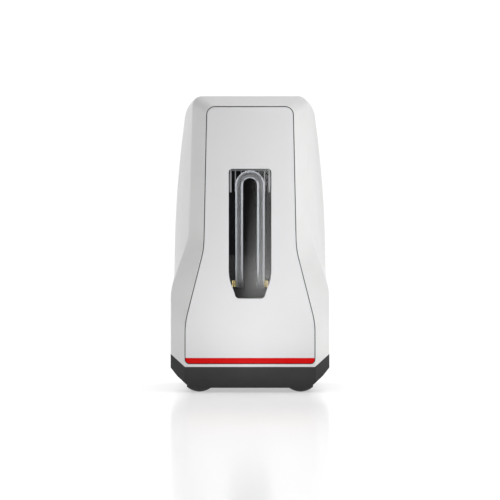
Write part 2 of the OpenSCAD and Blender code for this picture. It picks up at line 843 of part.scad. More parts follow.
// Two legs joined by a bow on top, each bent back at its foot and led through the block
module u_tube() {
  color([0.8, 0.88, 0.92, 0.5]) place() {
    translate([0, leg_y, bow_z]) rotate([90, 0, 0])
      rotate_extrude(angle = 180) translate([leg_x, 0]) tube_section();
    for (x = [-leg_x, leg_x]) {
      translate([x, leg_y, bend_z]) linear_extrude(height = bow_z - bend_z) tube_section();
      translate([x, bend_y, bend_z]) rotate([90, 0, 90]) rotate([0, 0, 180])
        rotate_extrude(angle = 90) translate([foot_bend, 0]) tube_section();
      translate([x, bend_y, root_z]) rotate([-90, 0, 0])
        linear_extrude(height = stub_end - bend_y) tube_section();
    }
  }
}

module tube_pins() {
  color([0.8, 0.62, 0.25]) place() for (x = [-pin_x, pin_x]) translate([x, 0, pin_z]) {
    rod_y(brass_r / 2, pin_y, ledge_y + brass_tail);
    translate([0, pin_y, -brass_h / 2]) difference() {
      cylinder(r = brass_r, h = brass_h);
      translate([0, 0, brass_h * groove[0]]) difference() {
        cylinder(r = brass_r + past, h = brass_h * groove[1]);
        translate([0, 0, -past]) cylinder(r = brass_r * groove[2], h = brass_h);
      }
    }
  }
}

module tube_block() {
  color([0.7, 0.7, 0.72]) place() difference() {
    block(block_w, [cell_y, block_back], [root_z - block_h / 2, root_z + block_h / 2]);
    for (x = [-leg_x, leg_x])
      translate([x, 0, root_z]) rod_y(tube_r + hold_gap, cell_y - past, block_back + past);
    for (x = [-block_screw_x, block_screw_x])
      translate([x, 0, root_z]) rod_y(m2[0] + hold_gap, cell_y - past, block_back + past);
    translate([0, sensor_y, sensor_z]) cylinder(r = sensor_r + hold_gap, h = block_h);
  }
}

module block_screws() {
  color("silver") place()
    for (x = [-block_screw_x, block_screw_x])
      translate([x, 0, root_z]) screw_back(m2, block_back, block_l + block_screw_in);
}

// Ceramic plate on top of the block, on the side given
module piezo(side) {
  translate([side * (leg_x + piezo_size[0] / 2), sensor_y, root_z + block_h / 2]) {
    translate([-piezo_size[0] / 2, -piezo_size[1] / 2, 0]) cube(piezo_size);
    translate([0, 0, piezo_size[2]]) cylinder(r = piezo_disc[0], h = piezo_disc[1]);
  }
}

module piezo_drive() {
  color([0.85, 0.8, 0.65]) place() piezo(-1);
}

module piezo_pickup() {
  color([0.85, 0.8, 0.65]) place() piezo(1);
}

module temperature_sensor() {
  color([0.8, 0.8, 0.82]) place() translate([0, sensor_y, sensor_z]) {
    cylinder(r = sensor_r, h = probe_l);
    for (x = [-probe_wire[2], probe_wire[2]])
      translate([x, 0, probe_l]) cylinder(r = probe_wire[0], h = probe_wire[1]);
  }
}

module sensor_board() {
  color([0.1, 0.35, 0.2]) place() difference() {
    block(sboard_w, [cell_y, cell_y + board_t], sboard_z);
    for (x = [-sboard_screw_x, sboard_screw_x], z = [sboard_z[0] + sboard_inset, sboard_z[1] - sboard_inset])
      translate([x, 0, z]) rod_y(m16[0] + hold_gap, cell_y - past, cell_y + board_t + past);
  }
}

module sensor_board_screws() {
  color("silver") place()
    for (x = [-sboard_screw_x, sboard_screw_x], z = [sboard_z[0] + sboard_inset, sboard_z[1] - sboard_inset])
      translate([x, 0, z]) screw_back(m16, cell_y + board_t, board_t + sboard_screw_in);
}

module sensor_connector() {
  color("ivory") place()
    block(sconn[0], [cell_y + board_t, cell_y + board_t + sconn[1]], [sconn_z, sconn_z + sconn[2]]);
}

// Flat cable from the sensor board's connector to the main board's, sagging between them
module sensor_flex() {
  a = [cell_y + board_t + sconn[1], sconn_z + sconn[2] / 2];
  b = [board_y - mconn[1], mconn_z + mconn[2] / 2];
  n = flex_steps;
  path = [for (i = [0 : n]) let(t = i / n) [lerp(a[0], b[0], t), lerp(a[1], b[1], smooth(t))]];
  color([0.85, 0.5, 0.15]) place() ribbon(path, flex_w, [0, flex_t]);
}

// Ribbon of width w along a path in the YZ plane, thickened by the offset t
module ribbon(path, w, t) {
  below = [for (i = [len(path) - 1 : -1 : 0]) path[i] - t];
  translate([-w / 2, 0, 0]) rotate([90, 0, 90]) linear_extrude(height = w) polygon(concat(path, below));
}

// ---- Hoses and ports ----

// Hose from the tube's end behind the block to a port's tail
module hose(side) {
  y0 = stub_end + hose_straight;
  y1 = port_shank_y - port_tail_l - hose_straight;
  n = hose_steps;
  middle = [
    for (i = [0 : n])
      let(t = i / n)
      [side * lerp(leg_x, port_x, smooth(t)), lerp(y0, y1, t), lerp(root_z, port_z, smooth(t))]
  ];
  path = concat([[side * leg_x, block_back, root_z]], middle, [[side * port_x, port_shank_y, port_z]]);
  swept_tube(path, hose_ir + hose_wall, hose_ir, hose_sides);
}

module inlet_hose() {
  color([0.85, 0.85, 0.83]) place() hose(-1);
}

module outlet_hose() {
  color([0.85, 0.85, 0.83]) place() hose(1);
}

// Female port with a flange, a threaded shank and a tail for the hose
module port(side) {
  translate([side * port_x, 0, port_z]) difference() {
    union() {
      rod_y(port_flange[0], back, back + port_flange[1]);
      rod_y(port_barrel_r, back, back + port_out);
      rod_y(port_collar[0], back + port_out - port_collar[1], back + port_out);
      rod_y(port_shank_r, port_shank_y, back + past);
      rod_y(port_tail_r, port_shank_y - port_tail_l, port_shank_y + past);
    }
    rod_y(port_bore_r, back + port_out - port_bore_l, back + port_out + past);
    rod_y(port_tail_bore_r, port_shank_y - port_tail_l - past, back);
    translate([0, back - past, 0]) rotate([-90, 0, 0]) difference() {
      cylinder(r = seal_r + seal_room, h = past + 2 * seal_wire);
      translate([0, 0, -past]) cylinder(r = seal_r - seal_room, h = 4 * past);
    }
  }
}

module inlet_port() {
  color([0.2, 0.2, 0.22]) place() port(-1);
}

module outlet_port() {
  color([0.2, 0.2, 0.22]) place() port(1);
}

module port_seals() {
  color([0.05, 0.05, 0.05]) place()
    for (x = [-port_x, port_x])
      translate([x, back + seal_wire, port_z]) rotate([90, 0, 0])
        rotate_extrude() translate([seal_r, 0]) circle(r = seal_wire);
}

module port_nuts() {
  color("silver") place()
    for (x = [-port_x, port_x]) translate([x, 0, port_z]) difference() {
      translate([0, flange_y - nut_t, 0]) rotate([-90, 0, 0]) cylinder(r = nut_r, h = nut_t, $fn = 6);
      rod_y(port_shank_r + hold_gap, flange_y - nut_t - past, flange_y + past);
    }
}

// ---- Rear panel and button ----

module rear_panel() {
  color([0.22, 0.22, 0.23]) place() difference() {
    union() {
      along_y(back - panel_t, back) rounded(panel_w, panel_z, panel_top, panel_r - drop_gap);
      along_y(flange_y, back - panel_t)
        rounded(panel_w + 2 * flange_side, panel_z - flange_margin, panel_top + flange_margin, panel_r);
      for (x = [-bboard_post_x, bboard_post_x], z = bboard_post_z)
        translate([x, 0, z]) rod_y(bboard_post_r, bboard_back, flange_y + flange_t / 3);
    }
    translate([0, 0, button_z]) {
      rod_y(button_r + button_gap, flange_y - past, back + past);
      rod_y(pocket_r, flange_y - past, back - panel_t);
    }
    for (x = [-port_x, port_x])
      translate([x, 0, port_z]) rod_y(port_shank_r + 2 * hold_gap, flange_y - past, back + past);
    translate([0, 0, light_z]) rod_y(light_r + 2 * hold_gap, flange_y - past, back + past);
    for (x = [-stake_x, stake_x], z = stake_z)
      translate([x, 0, z]) rod_y(stake_r + 2 * hold_gap, flange_y - past, back - panel_t + hold_gap);
    for (x = [-bboard_post_x, bboard_post_x], z = bboard_post_z)
      translate([x, 0, z]) rod_y(m16[0] + hold_gap, bboard_back - past, flange_y - past);
  }
}

module power_button() {
  color([0.8, 0.8, 0.81]) place() translate([0, 0, button_z]) difference() {
    union() {
      rod_y(button_r, collar_y + collar_t / 4, back + button_out);
      rod_y(collar_r, collar_y, collar_y + collar_t);
      rod_y(stem_r, plunger_y[1], collar_y + collar_t / 2);
    }
    translate([0, back + button_out + dish_r - dish_drop, 0]) sphere(r = dish_r);
  }
}

module switch_plunger() {
  color([0.1, 0.1, 0.1]) place() translate([0, 0, button_z]) rod_y(plunger_r, plunger_y[0], plunger_y[1]);
}

module tactile_switch() {
  color([0.15, 0.15, 0.15]) place() difference() {
    block(switch_w, [bboard_back, bboard_back + switch_t],
          [button_z - switch_w / 2, button_z + switch_w / 2]);
    translate([0, 0, button_z])
      rod_y(plunger_r + button_gap, bboard_back + switch_floor, bboard_back + switch_t + past);
  }
}

module button_board() {
  color([0.1, 0.35, 0.2]) place() difference() {
    block(bboard_w, [bboard_y, bboard_back], bboard_z);
    for (x = [-bboard_post_x, bboard_post_x], z = bboard_post_z)
      translate([x, 0, z]) rod_y(m16[0] + hold_gap, bboard_y - past, bboard_back + past);
  }
}

module button_board_screws() {
  color("silver") place()
    for (x = [-bboard_post_x, bboard_post_x], z = bboard_post_z)
      translate([x, 0, z]) screw_front(m16, bboard_y, board_t + bboard_screw_in);
}

module status_led() {
  color([0.95, 0.95, 0.9]) place()
    block(led_w, [bboard_back, bboard_back + led_t], [light_z - led_w / 2, light_z + led_w / 2]);
}

module light_pipe() {
  color([0.9, 0.95, 0.9, 0.5]) place()
    translate([0, 0, light_z]) rod_y(light_r, bboard_back + led_t + led_gap, back);
}

// Ribbon from the small board down to the main board
module button_cable() {
  a = [bboard_y, bboard_z[0] + cable_in];
  b = [pillar_y + bconn[1] + flex_t, board_top - cable_in];
  n = cable_steps;
  path = [for (i = [0 : n]) let(t = i / n) [lerp(a[0], b[0], smooth(t)), lerp(a[1], b[1], t)]];
  color([0.3, 0.3, 0.32]) place() ribbon(path, cable_w, [flex_t, 0]);
}

// ---- Frame, boards and battery ----

module inner_frame() {
  bay_outer_w = bay_w + 2 * bay_wall;
  color([0.25, 0.25, 0.26]) place() difference() {
    union() {
      block(2 * (frame_screw_x[0] + frame_edge), [frame_screw_y[0] - frame_edge, bay_y - bay_wall + past],
            [frame_floor_z, frame_floor_z + frame_floor_t]);
      block(bay_outer_w, [bay_y - bay_wall, bay_rim_y], [frame_floor_z, frame_floor_z + frame_floor_t]);
      for (x = [-1, 1])
        translate([x > 0 ? bay_w / 2 : -bay_w / 2 - bay_wall, bay_y - bay_wall, frame_floor_z])
          cube([bay_wall, bay_rim_y - bay_y + bay_wall, bay_z - frame_floor_z]);
      block(bay_outer_w, [bay_y - bay_wall, bay_rim_y], [bay_z - bay_wall, bay_top + bay_wall]);
      for (x = [-pillar_x, pillar_x], z = pillar_z)
        translate([x, 0, z]) rod_y(pillar_r, pillar_y, bay_y - bay_wall / 2);
      for (i = [0, 1], x = [-frame_screw_x[i], frame_screw_x[i]])
        translate([x, frame_screw_y[i], frame_floor_z]) cylinder(r = frame_post[0], h = frame_post[1]);
    }
    difference() {
      block(bay_w, [bay_y, bay_rim_y + past], [bay_z, bay_top]);
      for (i = [1, 2])
        translate([0, 0, bay_z + i * pitch])
          block(bay_w - 2 * shelf_end, [bay_y - past / 2, battery_y - shelf_y],
                [shelf_gap - battery_gap / 2, battery_gap / 2 - shelf_gap]);
    }
    for (x = [-pillar_x, pillar_x], z = pillar_z)
      translate([x, 0, z]) rod_y(m16[0] + hold_gap, pillar_y - past, pillar_y + pillar_hole);
    for (i = [0, 1], x = [-frame_screw_x[i], frame_screw_x[i]])
      translate([x, frame_screw_y[i], frame_floor_z - past])
        cylinder(r = m2[0] + hold_gap, h = frame_post[1] + past / 2);
  }
}

module frame_screws() {
  color("silver") place()
    for (i = [0, 1], x = [-frame_screw_x[i], frame_screw_x[i]])
      translate([x, frame_screw_y[i], head_z + m2[2]]) rotate([180, 0, 0]) screw(m2, frame_screw_l);
}

module main_board() {
  color([0.1, 0.35, 0.2]) place() difference() {
    block(board_w, [board_y, pillar_y], [board_z, board_top]);
    for (x = [-pillar_x, pillar_x], z = pillar_z)
      translate([x, 0, z]) rod_y(m16[0] + hold_gap, board_y - past, pillar_y + past);
  }
}

module board_screws() {
  color("silver") place()
    for (x = [-pillar_x, pillar_x], z = pillar_z)
      translate([x, 0, z]) screw_front(m16, board_y, board_t + board_screw_in);
}

module microcontroller() {
  color([0.12, 0.12, 0.12]) place() translate([chip_at[0], 0, board_z + chip_at[1]])
    block(chip[0], [board_y - chip[1], board_y], [0, chip[2]]);
}

module radio_module() {
  color([0.15, 0.2, 0.45]) place() translate([radio_at[0], 0, board_z + radio_at[1]])
    block(radio[0], [board_y - radio[1], board_y], [0, radio[2]]);
}

module radio_shield() {
  color("silver") place() translate([radio_at[0], 0, board_z + radio_at[1] + can_rise])
    block(can[0], [board_y - radio[1] - can[1], board_y - radio[1]], [0, can[2]]);
}

// Connectors on the main board: one for the flat cable, one for the button, one for the battery
module board_connectors() {
  color("ivory") place() {
    block(mconn[0], [board_y - mconn[1], board_y], [mconn_z, mconn_z + mconn[2]]);
    block(bconn[0], [pillar_y, pillar_y + bconn[1]],
          [board_top - bconn_drop - bconn[2], board_top - bconn_drop]);
    block(lconn[0], [pillar_y, pillar_y + lconn[1]], [board_z + lconn_rise, board_z + lconn_rise + lconn[2]]);
  }
}

// Battery cell number i, counted from the bottom; the middle one lies the other way round
module battery(i) {
  side = facing(i);
  can_l = battery_l - button_l;
  color([0.2, 0.45, 0.3]) place()
    translate([side * spring_end, battery_y, battery_z(i)]) rotate([0, -side * 90, 0]) {
    cylinder(r = battery_d / 2, h = can_l);
    translate([0, 0, can_l]) cylinder(r = nub_r, h = button_l);
  }
}

module battery_1() { battery(1); }
module battery_2() { battery(2); }
module battery_3() { battery(3); }

module battery_springs() {
  color("silver") place()
    for (i = [1 : 3]) {
      side = facing(i);
      translate([side * (bay_w / 2 - plate_t), battery_y, battery_z(i)]) rotate([0, -side * 90, 0])
        cylinder(r1 = spring_r[0], r2 = spring_r[1], h = bay_w / 2 - plate_t - spring_end);
    }
}

module contact_plates() {
  color([0.8, 0.8, 0.78]) place()
    for (i = [1 : 3], side = [-1, 1])
      translate([side * (bay_w - plate_t) / 2, battery_y, battery_z(i)])
        cube([plate_t, plate_w, plate_w], center = true);
}

// Two wires from the bay to the connector on the back of the main board
module battery_leads() {
  color([0.7, 0.1, 0.1]) place() for (side = [-1, 1]) {
    a = [side * lead_turn[0], bay_y - bay_wall, board_z + lead_turn[2]];
    b = [side * lead_turn[1], pillar_y + lconn[1] / 2, board_z + lconn_rise + lconn[2]];
    turn = [
      for (i = [0 : lead_steps])
        let(t = i / lead_steps, out = sin(90 * t), up = cos(90 * t))
        [lerp(a[0], b[0], t), lerp(a[1] - lead_run, b[1], out), lerp(b[2] + lead_run, a[2], up)]
    ];
    swept_tube(concat([a], turn, [b]), lead_r, 0, lead_sides);
  }
}

module battery_door() {
  z0 = door_z[0] + door_gap;
  z1 = door_z[1] - door_gap;
  right = door_w / 2 - door_gap;
  color("white") place() difference() {
    union() {
      translate([hinge_x, hinge_y, z0]) cylinder(r = barrel_r, h = z1 - z0);
      translate([hinge_x, back - door_t, z0]) cube([right - hinge_x, door_t, z1 - z0]);
      for (i = [1, 2])
        translate([hinge_x + door_rib[0], back - door_t - door_rib[1], bay_z + i * pitch - door_rib[2] / 4])
          cube([right - hinge_x - 1.5 * door_rib[0], door_rib[1] + drop_gap, door_rib[2]]);
    }
    translate([hinge_x, hinge_y, z0 - past]) cylinder(r = pin_r + hinge_gap, h = z1 - z0 + 2 * past);
    translate([right - thumb[0], back + thumb[1] - thumb[2], (z0 + z1 - thumb[3]) / 2])
      cylinder(r = thumb[1], h = thumb[3]);
  }
}

module door_pin() {
  color("silver") place() translate([hinge_x, hinge_y, door_z[0] - hinge_pad + drop_gap])
    cylinder(r = pin_r, h = door_z[1] - door_z[0] + 2 * (hinge_pad - drop_gap));
}

// ---- Base ----

// Front view of the tray below a joint line that is raised by lift
module tray_section(lift, floor_z, side_in) {
  top_x = keel_x + joint_run;
  rise_x = parting_x + joint_run;
  knee_z = floor_z + (knee_x - keel_x) * keel_rise;
  top_z = knee_z + (top_x - knee_x) * knee_rise;
  polygon([
    [-keel_x + side_in, floor_z], [keel_x - side_in, floor_z],
    [knee_x - side_in, knee_z],
    [top_x - side_in, top_z],
    [rise_x, parting_z + lift + joint_run * parting_rise],
    [parting_x, parting_z + lift], [-parting_x, parting_z + lift],
    [-rise_x, parting_z + lift + joint_run * parting_rise],
    [-top_x + side_in, top_z],
    [-knee_x + side_in, knee_z]
  ]);
}

module tray_solid(inset, lift, floor_z, side_in) {
  intersection() {
    translate([0, 0, floor_z - past]) linear_extrude(height = 2 * joint_run + lip_h) plan(inset);
    along_y(-past, back + past) tray_section(lift, floor_z, side_in);
  }
}

module base_tray() {
  lip_in = wall + drop_gap;
  color([0.25, 0.25, 0.26]) place() difference() {
    union() {
      difference() {
        union() {
          tray_solid(0, 0, foot_h, 0);
          tray_solid(lip_in, lip_h, foot_h, 0);
        }
        tray_solid(lip_in + lip_t, 4 * lip_h, foot_h + floor_t, tray_side);
      }
      for (x = [-boss_x, boss_x], y = boss_y)
        translate([x, y, foot_h + floor_t / 2]) cylinder(r = post_r, h = boss_z - foot_h - floor_t / 2);
      for (i = [0, 1], x = [-frame_screw_x[i], frame_screw_x[i]])
        translate([x, frame_screw_y[i], foot_h + floor_t / 2])
          cylinder(r = post_r, h = frame_floor_z - foot_h - floor_t / 2);
    }
    for (x = [-boss_x, boss_x], y = boss_y) translate([x, y, foot_h]) screw_hole(boss_z);
    for (i = [0, 1], x = [-frame_screw_x[i], frame_screw_x[i]])
      translate([x, frame_screw_y[i], foot_h]) screw_hole(frame_floor_z);
    for (x = [-foot_x, foot_x], y = [foot_inset, back - foot_inset])
      translate([x, y, foot_h - past]) cylinder(r = foot_r + hold_gap, h = past + foot_stub);
  }
}

// Counterbored hole from the tray's underside up to height top
module screw_hole(top) {
  translate([0, 0, -past]) cylinder(r = m2[0] + hold_gap, h = top);
  translate([0, 0, -past]) cylinder(r = counter_r, h = past + head_z - foot_h + m2[2]);
}

module housing_screws() {
  color("silver") place()
    for (x = [-boss_x, boss_x], y = boss_y)
      translate([x, y, head_z + m2[2]]) rotate([180, 0, 0]) screw(m2, housing_screw_l);
}

// Domed rubber foot that is glued into a pocket in the tray and shows at the bevel
module rubber_foot(x, y) {
  flat_r = foot_r * foot_flat;
  color([0.08, 0.08, 0.08]) place() translate([x, y, 0]) rotate_extrude()
    polygon(concat(
      [[0, 0], [flat_r, 0]],
      [for (i = [1 : dome_steps]) let (a = i * dome_turn / dome_steps)
        [dome_arc_r * sin(a), dome_arc_r * (1 - cos(a))]],
      [[foot_r, foot_h + foot_stub], [0, foot_h + foot_stub]]
    ));
}

module foot_front_left() { rubber_foot(-foot_x, foot_inset); }
module foot_front_right() { rubber_foot(foot_x, foot_inset); }
module foot_rear_left() { rubber_foot(-foot_x, back - foot_inset); }
module foot_rear_right() { rubber_foot(foot_x, back - foot_inset); }

housing();
front_fascia();
accent_strip();
window_pane();
window_gasket();
cell_housing();
cell_screws();
u_tube();
tube_pins();
tube_block();
block_screws();
piezo_drive();
piezo_pickup();
temperature_sensor();
sensor_board();
sensor_board_screws();
sensor_connector();
sensor_flex();
inlet_hose();
outlet_hose();
inlet_port();
outlet_port();
port_seals();
port_nuts();
rear_panel();
power_button();
switch_plunger();
tactile_switch();
button_board();
button_board_screws();
status_led();
light_pipe();
button_cable();
inner_frame();
frame_screws();
main_board();
board_screws();
microcontroller();
radio_module();
radio_shield();
board_connectors();
battery_1();
battery_2();
battery_3();
battery_springs();
contact_plates();
battery_leads();
battery_door();
door_pin();
base_tray();
housing_screws();
foot_front_left();
foot_front_right();
foot_rear_left();
foot_rear_right();
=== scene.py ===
import math

import bmesh
import bpy
from mathutils import Matrix, Vector


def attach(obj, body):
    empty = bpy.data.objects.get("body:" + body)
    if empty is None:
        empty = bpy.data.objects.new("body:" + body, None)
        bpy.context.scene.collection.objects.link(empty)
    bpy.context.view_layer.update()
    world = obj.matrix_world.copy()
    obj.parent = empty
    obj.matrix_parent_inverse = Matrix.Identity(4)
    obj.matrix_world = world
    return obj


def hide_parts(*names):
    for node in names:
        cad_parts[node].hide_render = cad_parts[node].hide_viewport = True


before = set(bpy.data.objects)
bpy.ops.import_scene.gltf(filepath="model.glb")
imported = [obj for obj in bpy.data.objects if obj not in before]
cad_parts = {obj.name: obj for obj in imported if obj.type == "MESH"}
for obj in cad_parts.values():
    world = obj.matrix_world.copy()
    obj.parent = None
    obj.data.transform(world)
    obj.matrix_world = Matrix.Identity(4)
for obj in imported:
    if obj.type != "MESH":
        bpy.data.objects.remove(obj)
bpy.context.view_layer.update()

# Camera. It stands level with the middle of the meter, 1.27 m in front of its face, with a long lens that
# takes in 212.5 mm across at the face.
front_face = -0.0535
standing_off, seen_width, eye_height = 1.27, 0.2125, 0.0605
lens = bpy.data.cameras.new("camera")
lens.sensor_fit = "HORIZONTAL"
lens.angle = 2 * math.atan(seen_width / 2 / standing_off)
lens.clip_start = 0.02
camera = bpy.data.objects.new("camera", lens)
camera.location = (0, front_face - standing_off, eye_height)
camera.rotation_euler = (math.radians(90), 0, 0)
bpy.context.scene.collection.objects.link(camera)
bpy.context.scene.camera = camera

# Table top. A wide pale board, lit through from below, with a thin satin varnish in which a weak reflection
# of the meter shows.
table_half = 30
table = bmesh.new()
bmesh.ops.create_grid(table, x_segments=1, y_segments=1, size=table_half)
table_mesh = bpy.data.meshes.new("table_top")
table.to_mesh(table_mesh)
table.free()
table_top = bpy.data.objects.new("table_top", table_mesh)
bpy.context.scene.collection.objects.link(table_top)
varnish = bpy.data.materials.new("pale_table")
varnish.use_nodes = True
nodes, links = varnish.node_tree.nodes, varnish.node_tree.links
nodes.clear()
pale = nodes.new("ShaderNodeBsdfDiffuse")
pale.inputs["Color"].default_value = (0.5, 0.5, 0.5, 1)
lit_through = nodes.new("ShaderNodeEmission")
lit_through.inputs["Strength"].default_value = 0.64
both = nodes.new("ShaderNodeAddShader")
satin = nodes.new("ShaderNodeBsdfGlossy")
satin.inputs["Roughness"].default_value = 0.13
satin.inputs["Color"].default_value = (1, 1, 1, 1)
blend = nodes.new("ShaderNodeMixShader")
blend.inputs["Fac"].default_value = 0.3
shown = nodes.new("ShaderNodeOutputMaterial")
links.new(pale.outputs[0], both.inputs[0])
links.new(lit_through.outputs[0], both.inputs[1])
links.new(both.outputs[0], blend.inputs[1])
links.new(satin.outputs[0], blend.inputs[2])
links.new(blend.outputs[0], shown.inputs["Surface"])
table_mesh.materials.append(varnish)

# Studio light. A white backdrop behind the meter and a dim room on the camera's side, a wide soft light
# overhead, a lamp close by at the right front and three small ones flat on the table. A dark card behind
# the camera, lit at one corner, shows in the window.
scene = bpy.context.scene
scene.view_settings.view_transform = "Standard"
room = bpy.data.worlds.new("white_room")
room.use_nodes = True
nodes, links = room.node_tree.nodes, room.node_tree.links
nodes.clear()
direction = nodes.new("ShaderNodeTexCoord")
split = nodes.new("ShaderNodeSeparateXYZ")
behind = nodes.new("ShaderNodeMapRange")
behind.interpolation_type = "SMOOTHSTEP"
behind.inputs["From Min"].default_value, behind.inputs["From Max"].default_value = -0.3, 0.45
behind.inputs["To Min"].default_value, behind.inputs["To Max"].default_value = 0.105, 1.0
walls = nodes.new("ShaderNodeBackground")
walls.inputs["Color"].default_value = (1, 1, 1, 1)
backdrop = nodes.new("ShaderNodeBackground")
backdrop.inputs["Color"].default_value = (1, 1, 1, 1)
backdrop.inputs["Strength"].default_value = 1.05
path = nodes.new("ShaderNodeLightPath")
choose = nodes.new("ShaderNodeMixShader")
shown = nodes.new("ShaderNodeOutputWorld")
links.new(direction.outputs["Generated"], split.inputs["Vector"])
links.new(split.outputs["Y"], behind.inputs["Value"])
links.new(behind.outputs["Result"], walls.inputs["Strength"])
links.new(path.outputs["Is Camera Ray"], choose.inputs["Fac"])
links.new(walls.outputs[0], choose.inputs[1])
links.new(backdrop.outputs[0], choose.inputs[2])
links.new(choose.outputs[0], shown.inputs["Surface"])
scene.world = room


def lamp(name, kind, energy, place, target, **settings):
    """A lamp that stands at a place and points at a target; the glass never shows it straight through."""
    light = bpy.data.lights.new(name, kind)
    light.energy = energy
    for setting, value in settings.items():
        setattr(light, setting, value)
    stand = bpy.data.objects.new(name, light)
    stand.location = place
    stand.rotation_euler = (Vector(target) - Vector(place)).to_track_quat("-Z", "Y").to_euler()
    stand.visible_camera = False
    stand.visible_transmission = False
    stand.visible_glossy = name in ("overhead", "low_front", "card")
    scene.collection.objects.link(stand)
    return light


lamp("overhead", "SUN", 1.15, (0, 0, 1.5), (0, 0, 0), angle=math.radians(80))
lamp(
    "near_right", "AREA", 0.0285, (0.06, -0.11, 0.098), (0, front_face, 0.09), shape="RECTANGLE", size=0.04,
    size_y=0.12,
)
flat_lamps = (
    ("low_front", 0.022, 0.0, -0.105, 0.02, 0.05),
    ("low_left", 0.004, -0.07, -0.045, 0.03, 0.06),
    ("low_right", 0.014, 0.07, -0.045, 0.03, 0.06),
)
for name, energy, x, y, across, along in flat_lamps:
    lamp(name, "AREA", energy, (x, y, 0.002), (x, y, 1), shape="RECTANGLE", size=across, size_y=along)
card_w, card_h, card_z, card_glow = 0.06, 0.15, 0.0725, 16.0
card = lamp(
    "card", "AREA", card_glow * math.pi * card_w * card_h, (0, front_face - standing_off - 0.02, card_z),
    (0, 0, card_z), shape="RECTANGLE", size=card_w, size_y=card_h,
)
card.use_nodes = True
nodes, links = card.node_tree.nodes, card.node_tree.links
spot = nodes.new("ShaderNodeNewGeometry")
split = nodes.new("ShaderNodeSeparateXYZ")
tilted = nodes.new("ShaderNodeMath")
tilted.operation = "MULTIPLY_ADD"
tilted.inputs[1].default_value = -0.31
sideways = nodes.new("ShaderNodeMapRange")
sideways.interpolation_type = "SMOOTHSTEP"
sideways.inputs["From Min"].default_value, sideways.inputs["From Max"].default_value = 0.24, 0.52
upward = nodes.new("ShaderNodeValToRGB")
stops = upward.color_ramp.elements
shares = (
    (0.16, 0.45), (0.2, 0.65), (0.275, 0.85), (0.34, 0.62), (0.5, 0.45), (0.7, 0.33), (0.76, 0.33),
    (0.79, 0.5),
)
for place, share in shares:
    stop = stops.new(place)
    stop.color = (share, share, share, 1)
stops.remove(stops[0])
stops.remove(stops[-1])
glow = nodes.new("ShaderNodeMath")
glow.operation = "MULTIPLY"
links.new(spot.outputs["Parametric"], split.inputs["Vector"])
links.new(split.outputs["Y"], tilted.inputs[0])
links.new(split.outputs["X"], tilted.inputs[2])
links.new(tilted.outputs[0], sideways.inputs["Value"])
links.new(split.outputs["Y"], upward.inputs["Fac"])
links.new(sideways.outputs["Result"], glow.inputs[0])
links.new(upward.outputs["Color"], glow.inputs[1])
links.new(glow.outputs[0], nodes["Emission"].inputs["Strength"])

# Housing. One white injection-moulded shell, open at the bottom, with a raised flat front, a chamfer round
# it and a back that leans in at the top. The fascia's recess, the window, the rear panel and the battery
# bay are openings in its wall, and the posts inside take the screws.
depth, height, wall = 100.0, 127.5, 2.0
chamfer_y, belly_y, rear_r = 6.2, 50.0, 7.0
plateau_top, plateau_r, crease_r, shoulder_r, brow_drop = 121.8, 3.8, 4.0, 9.5, 1.3
lean_from, lean_back = 96, 12
trunk_w, trunk_top_w, trunk_from = 66.5, 54.7, 55
flare_top, neck_from = 25.6, 70
joint_z, joint_x, joint_rise, joint_run = 10.8, 27.6, 0.85, 12
fascia_foot, fascia_low, fascia_top, fascia_foot_r, fascia_top_r = 27.45, 12.3, 121.3, 1.7, 3.4
window_w, window_low, window_top, window_foot_r, window_top_r = 9.05, 39.9, 95.1, 2, 1.5
window_taper, taper_from = 0.383, 48.6
door_half, door_low, door_top = 25.4, 19.4, 54.5
panel_w, panel_low, panel_top, panel_r = 44.4, 61.8, 90.8, 3
cell_post_x, cell_post_z = 8, (32.5, 102.5)
tray_post_x, tray_post_y, web_x, web_half = 22.3, (22, 70), 31.5, 0.8


def ramp(t, soft):
    """Zero before 0 and t after it, with a soft bend between them."""
    return 0.0 if t <= -soft else t if t >= soft else (t + soft) ** 2 / (4 * soft)


def bottle(z, neck, waist, skirt, soft=4.0):
    """Half a bottle shape's width at height z, from its (half width, height) at neck, waist and skirt."""
    upper = (waist[0] - neck[0]) / (neck[1] - waist[1])
    lower = (skirt[0] - waist[0]) / (waist[1] - skirt[1])
    at_waist = (lower - upper) * ramp(waist[1] - z, soft)
    return neck[0] + upper * (neck[1] - z) + at_waist - lower * ramp(skirt[1] - z, soft)


def fascia_half(z):
    return bottle(z, (18.2, fascia_top), (19.5, 60.9), (fascia_foot, 29.6))


def crease_half(z):
    return bottle(z, (24.5, 126.2), (26.1, 66.0), (33.9, 44.0))


def trunk_half(z):
    return (trunk_w - (trunk_w - trunk_top_w) * (max(0.0, z - trunk_from) / (height - trunk_from)) ** 2) / 2


def window_half(z):
    return window_w - window_taper * ramp(taper_from - z, 3.0)


def mix(a, b, t):
    return a + (b - a) * t


def spread(a, b, n):
    """The n + 1 evenly spaced values from a to b."""
    return [mix(a, b, i / n) for i in range(n + 1)]


def half_width(z, u):
    """Half the shell's width, of the flat front (u < 0) or from the chamfer (u = 0) to the belly (u = 1)."""
    return fascia_half(z) + 0.5 if u < 0 else mix(crease_half(z), trunk_half(z), 1 - (1 - u) ** 2)


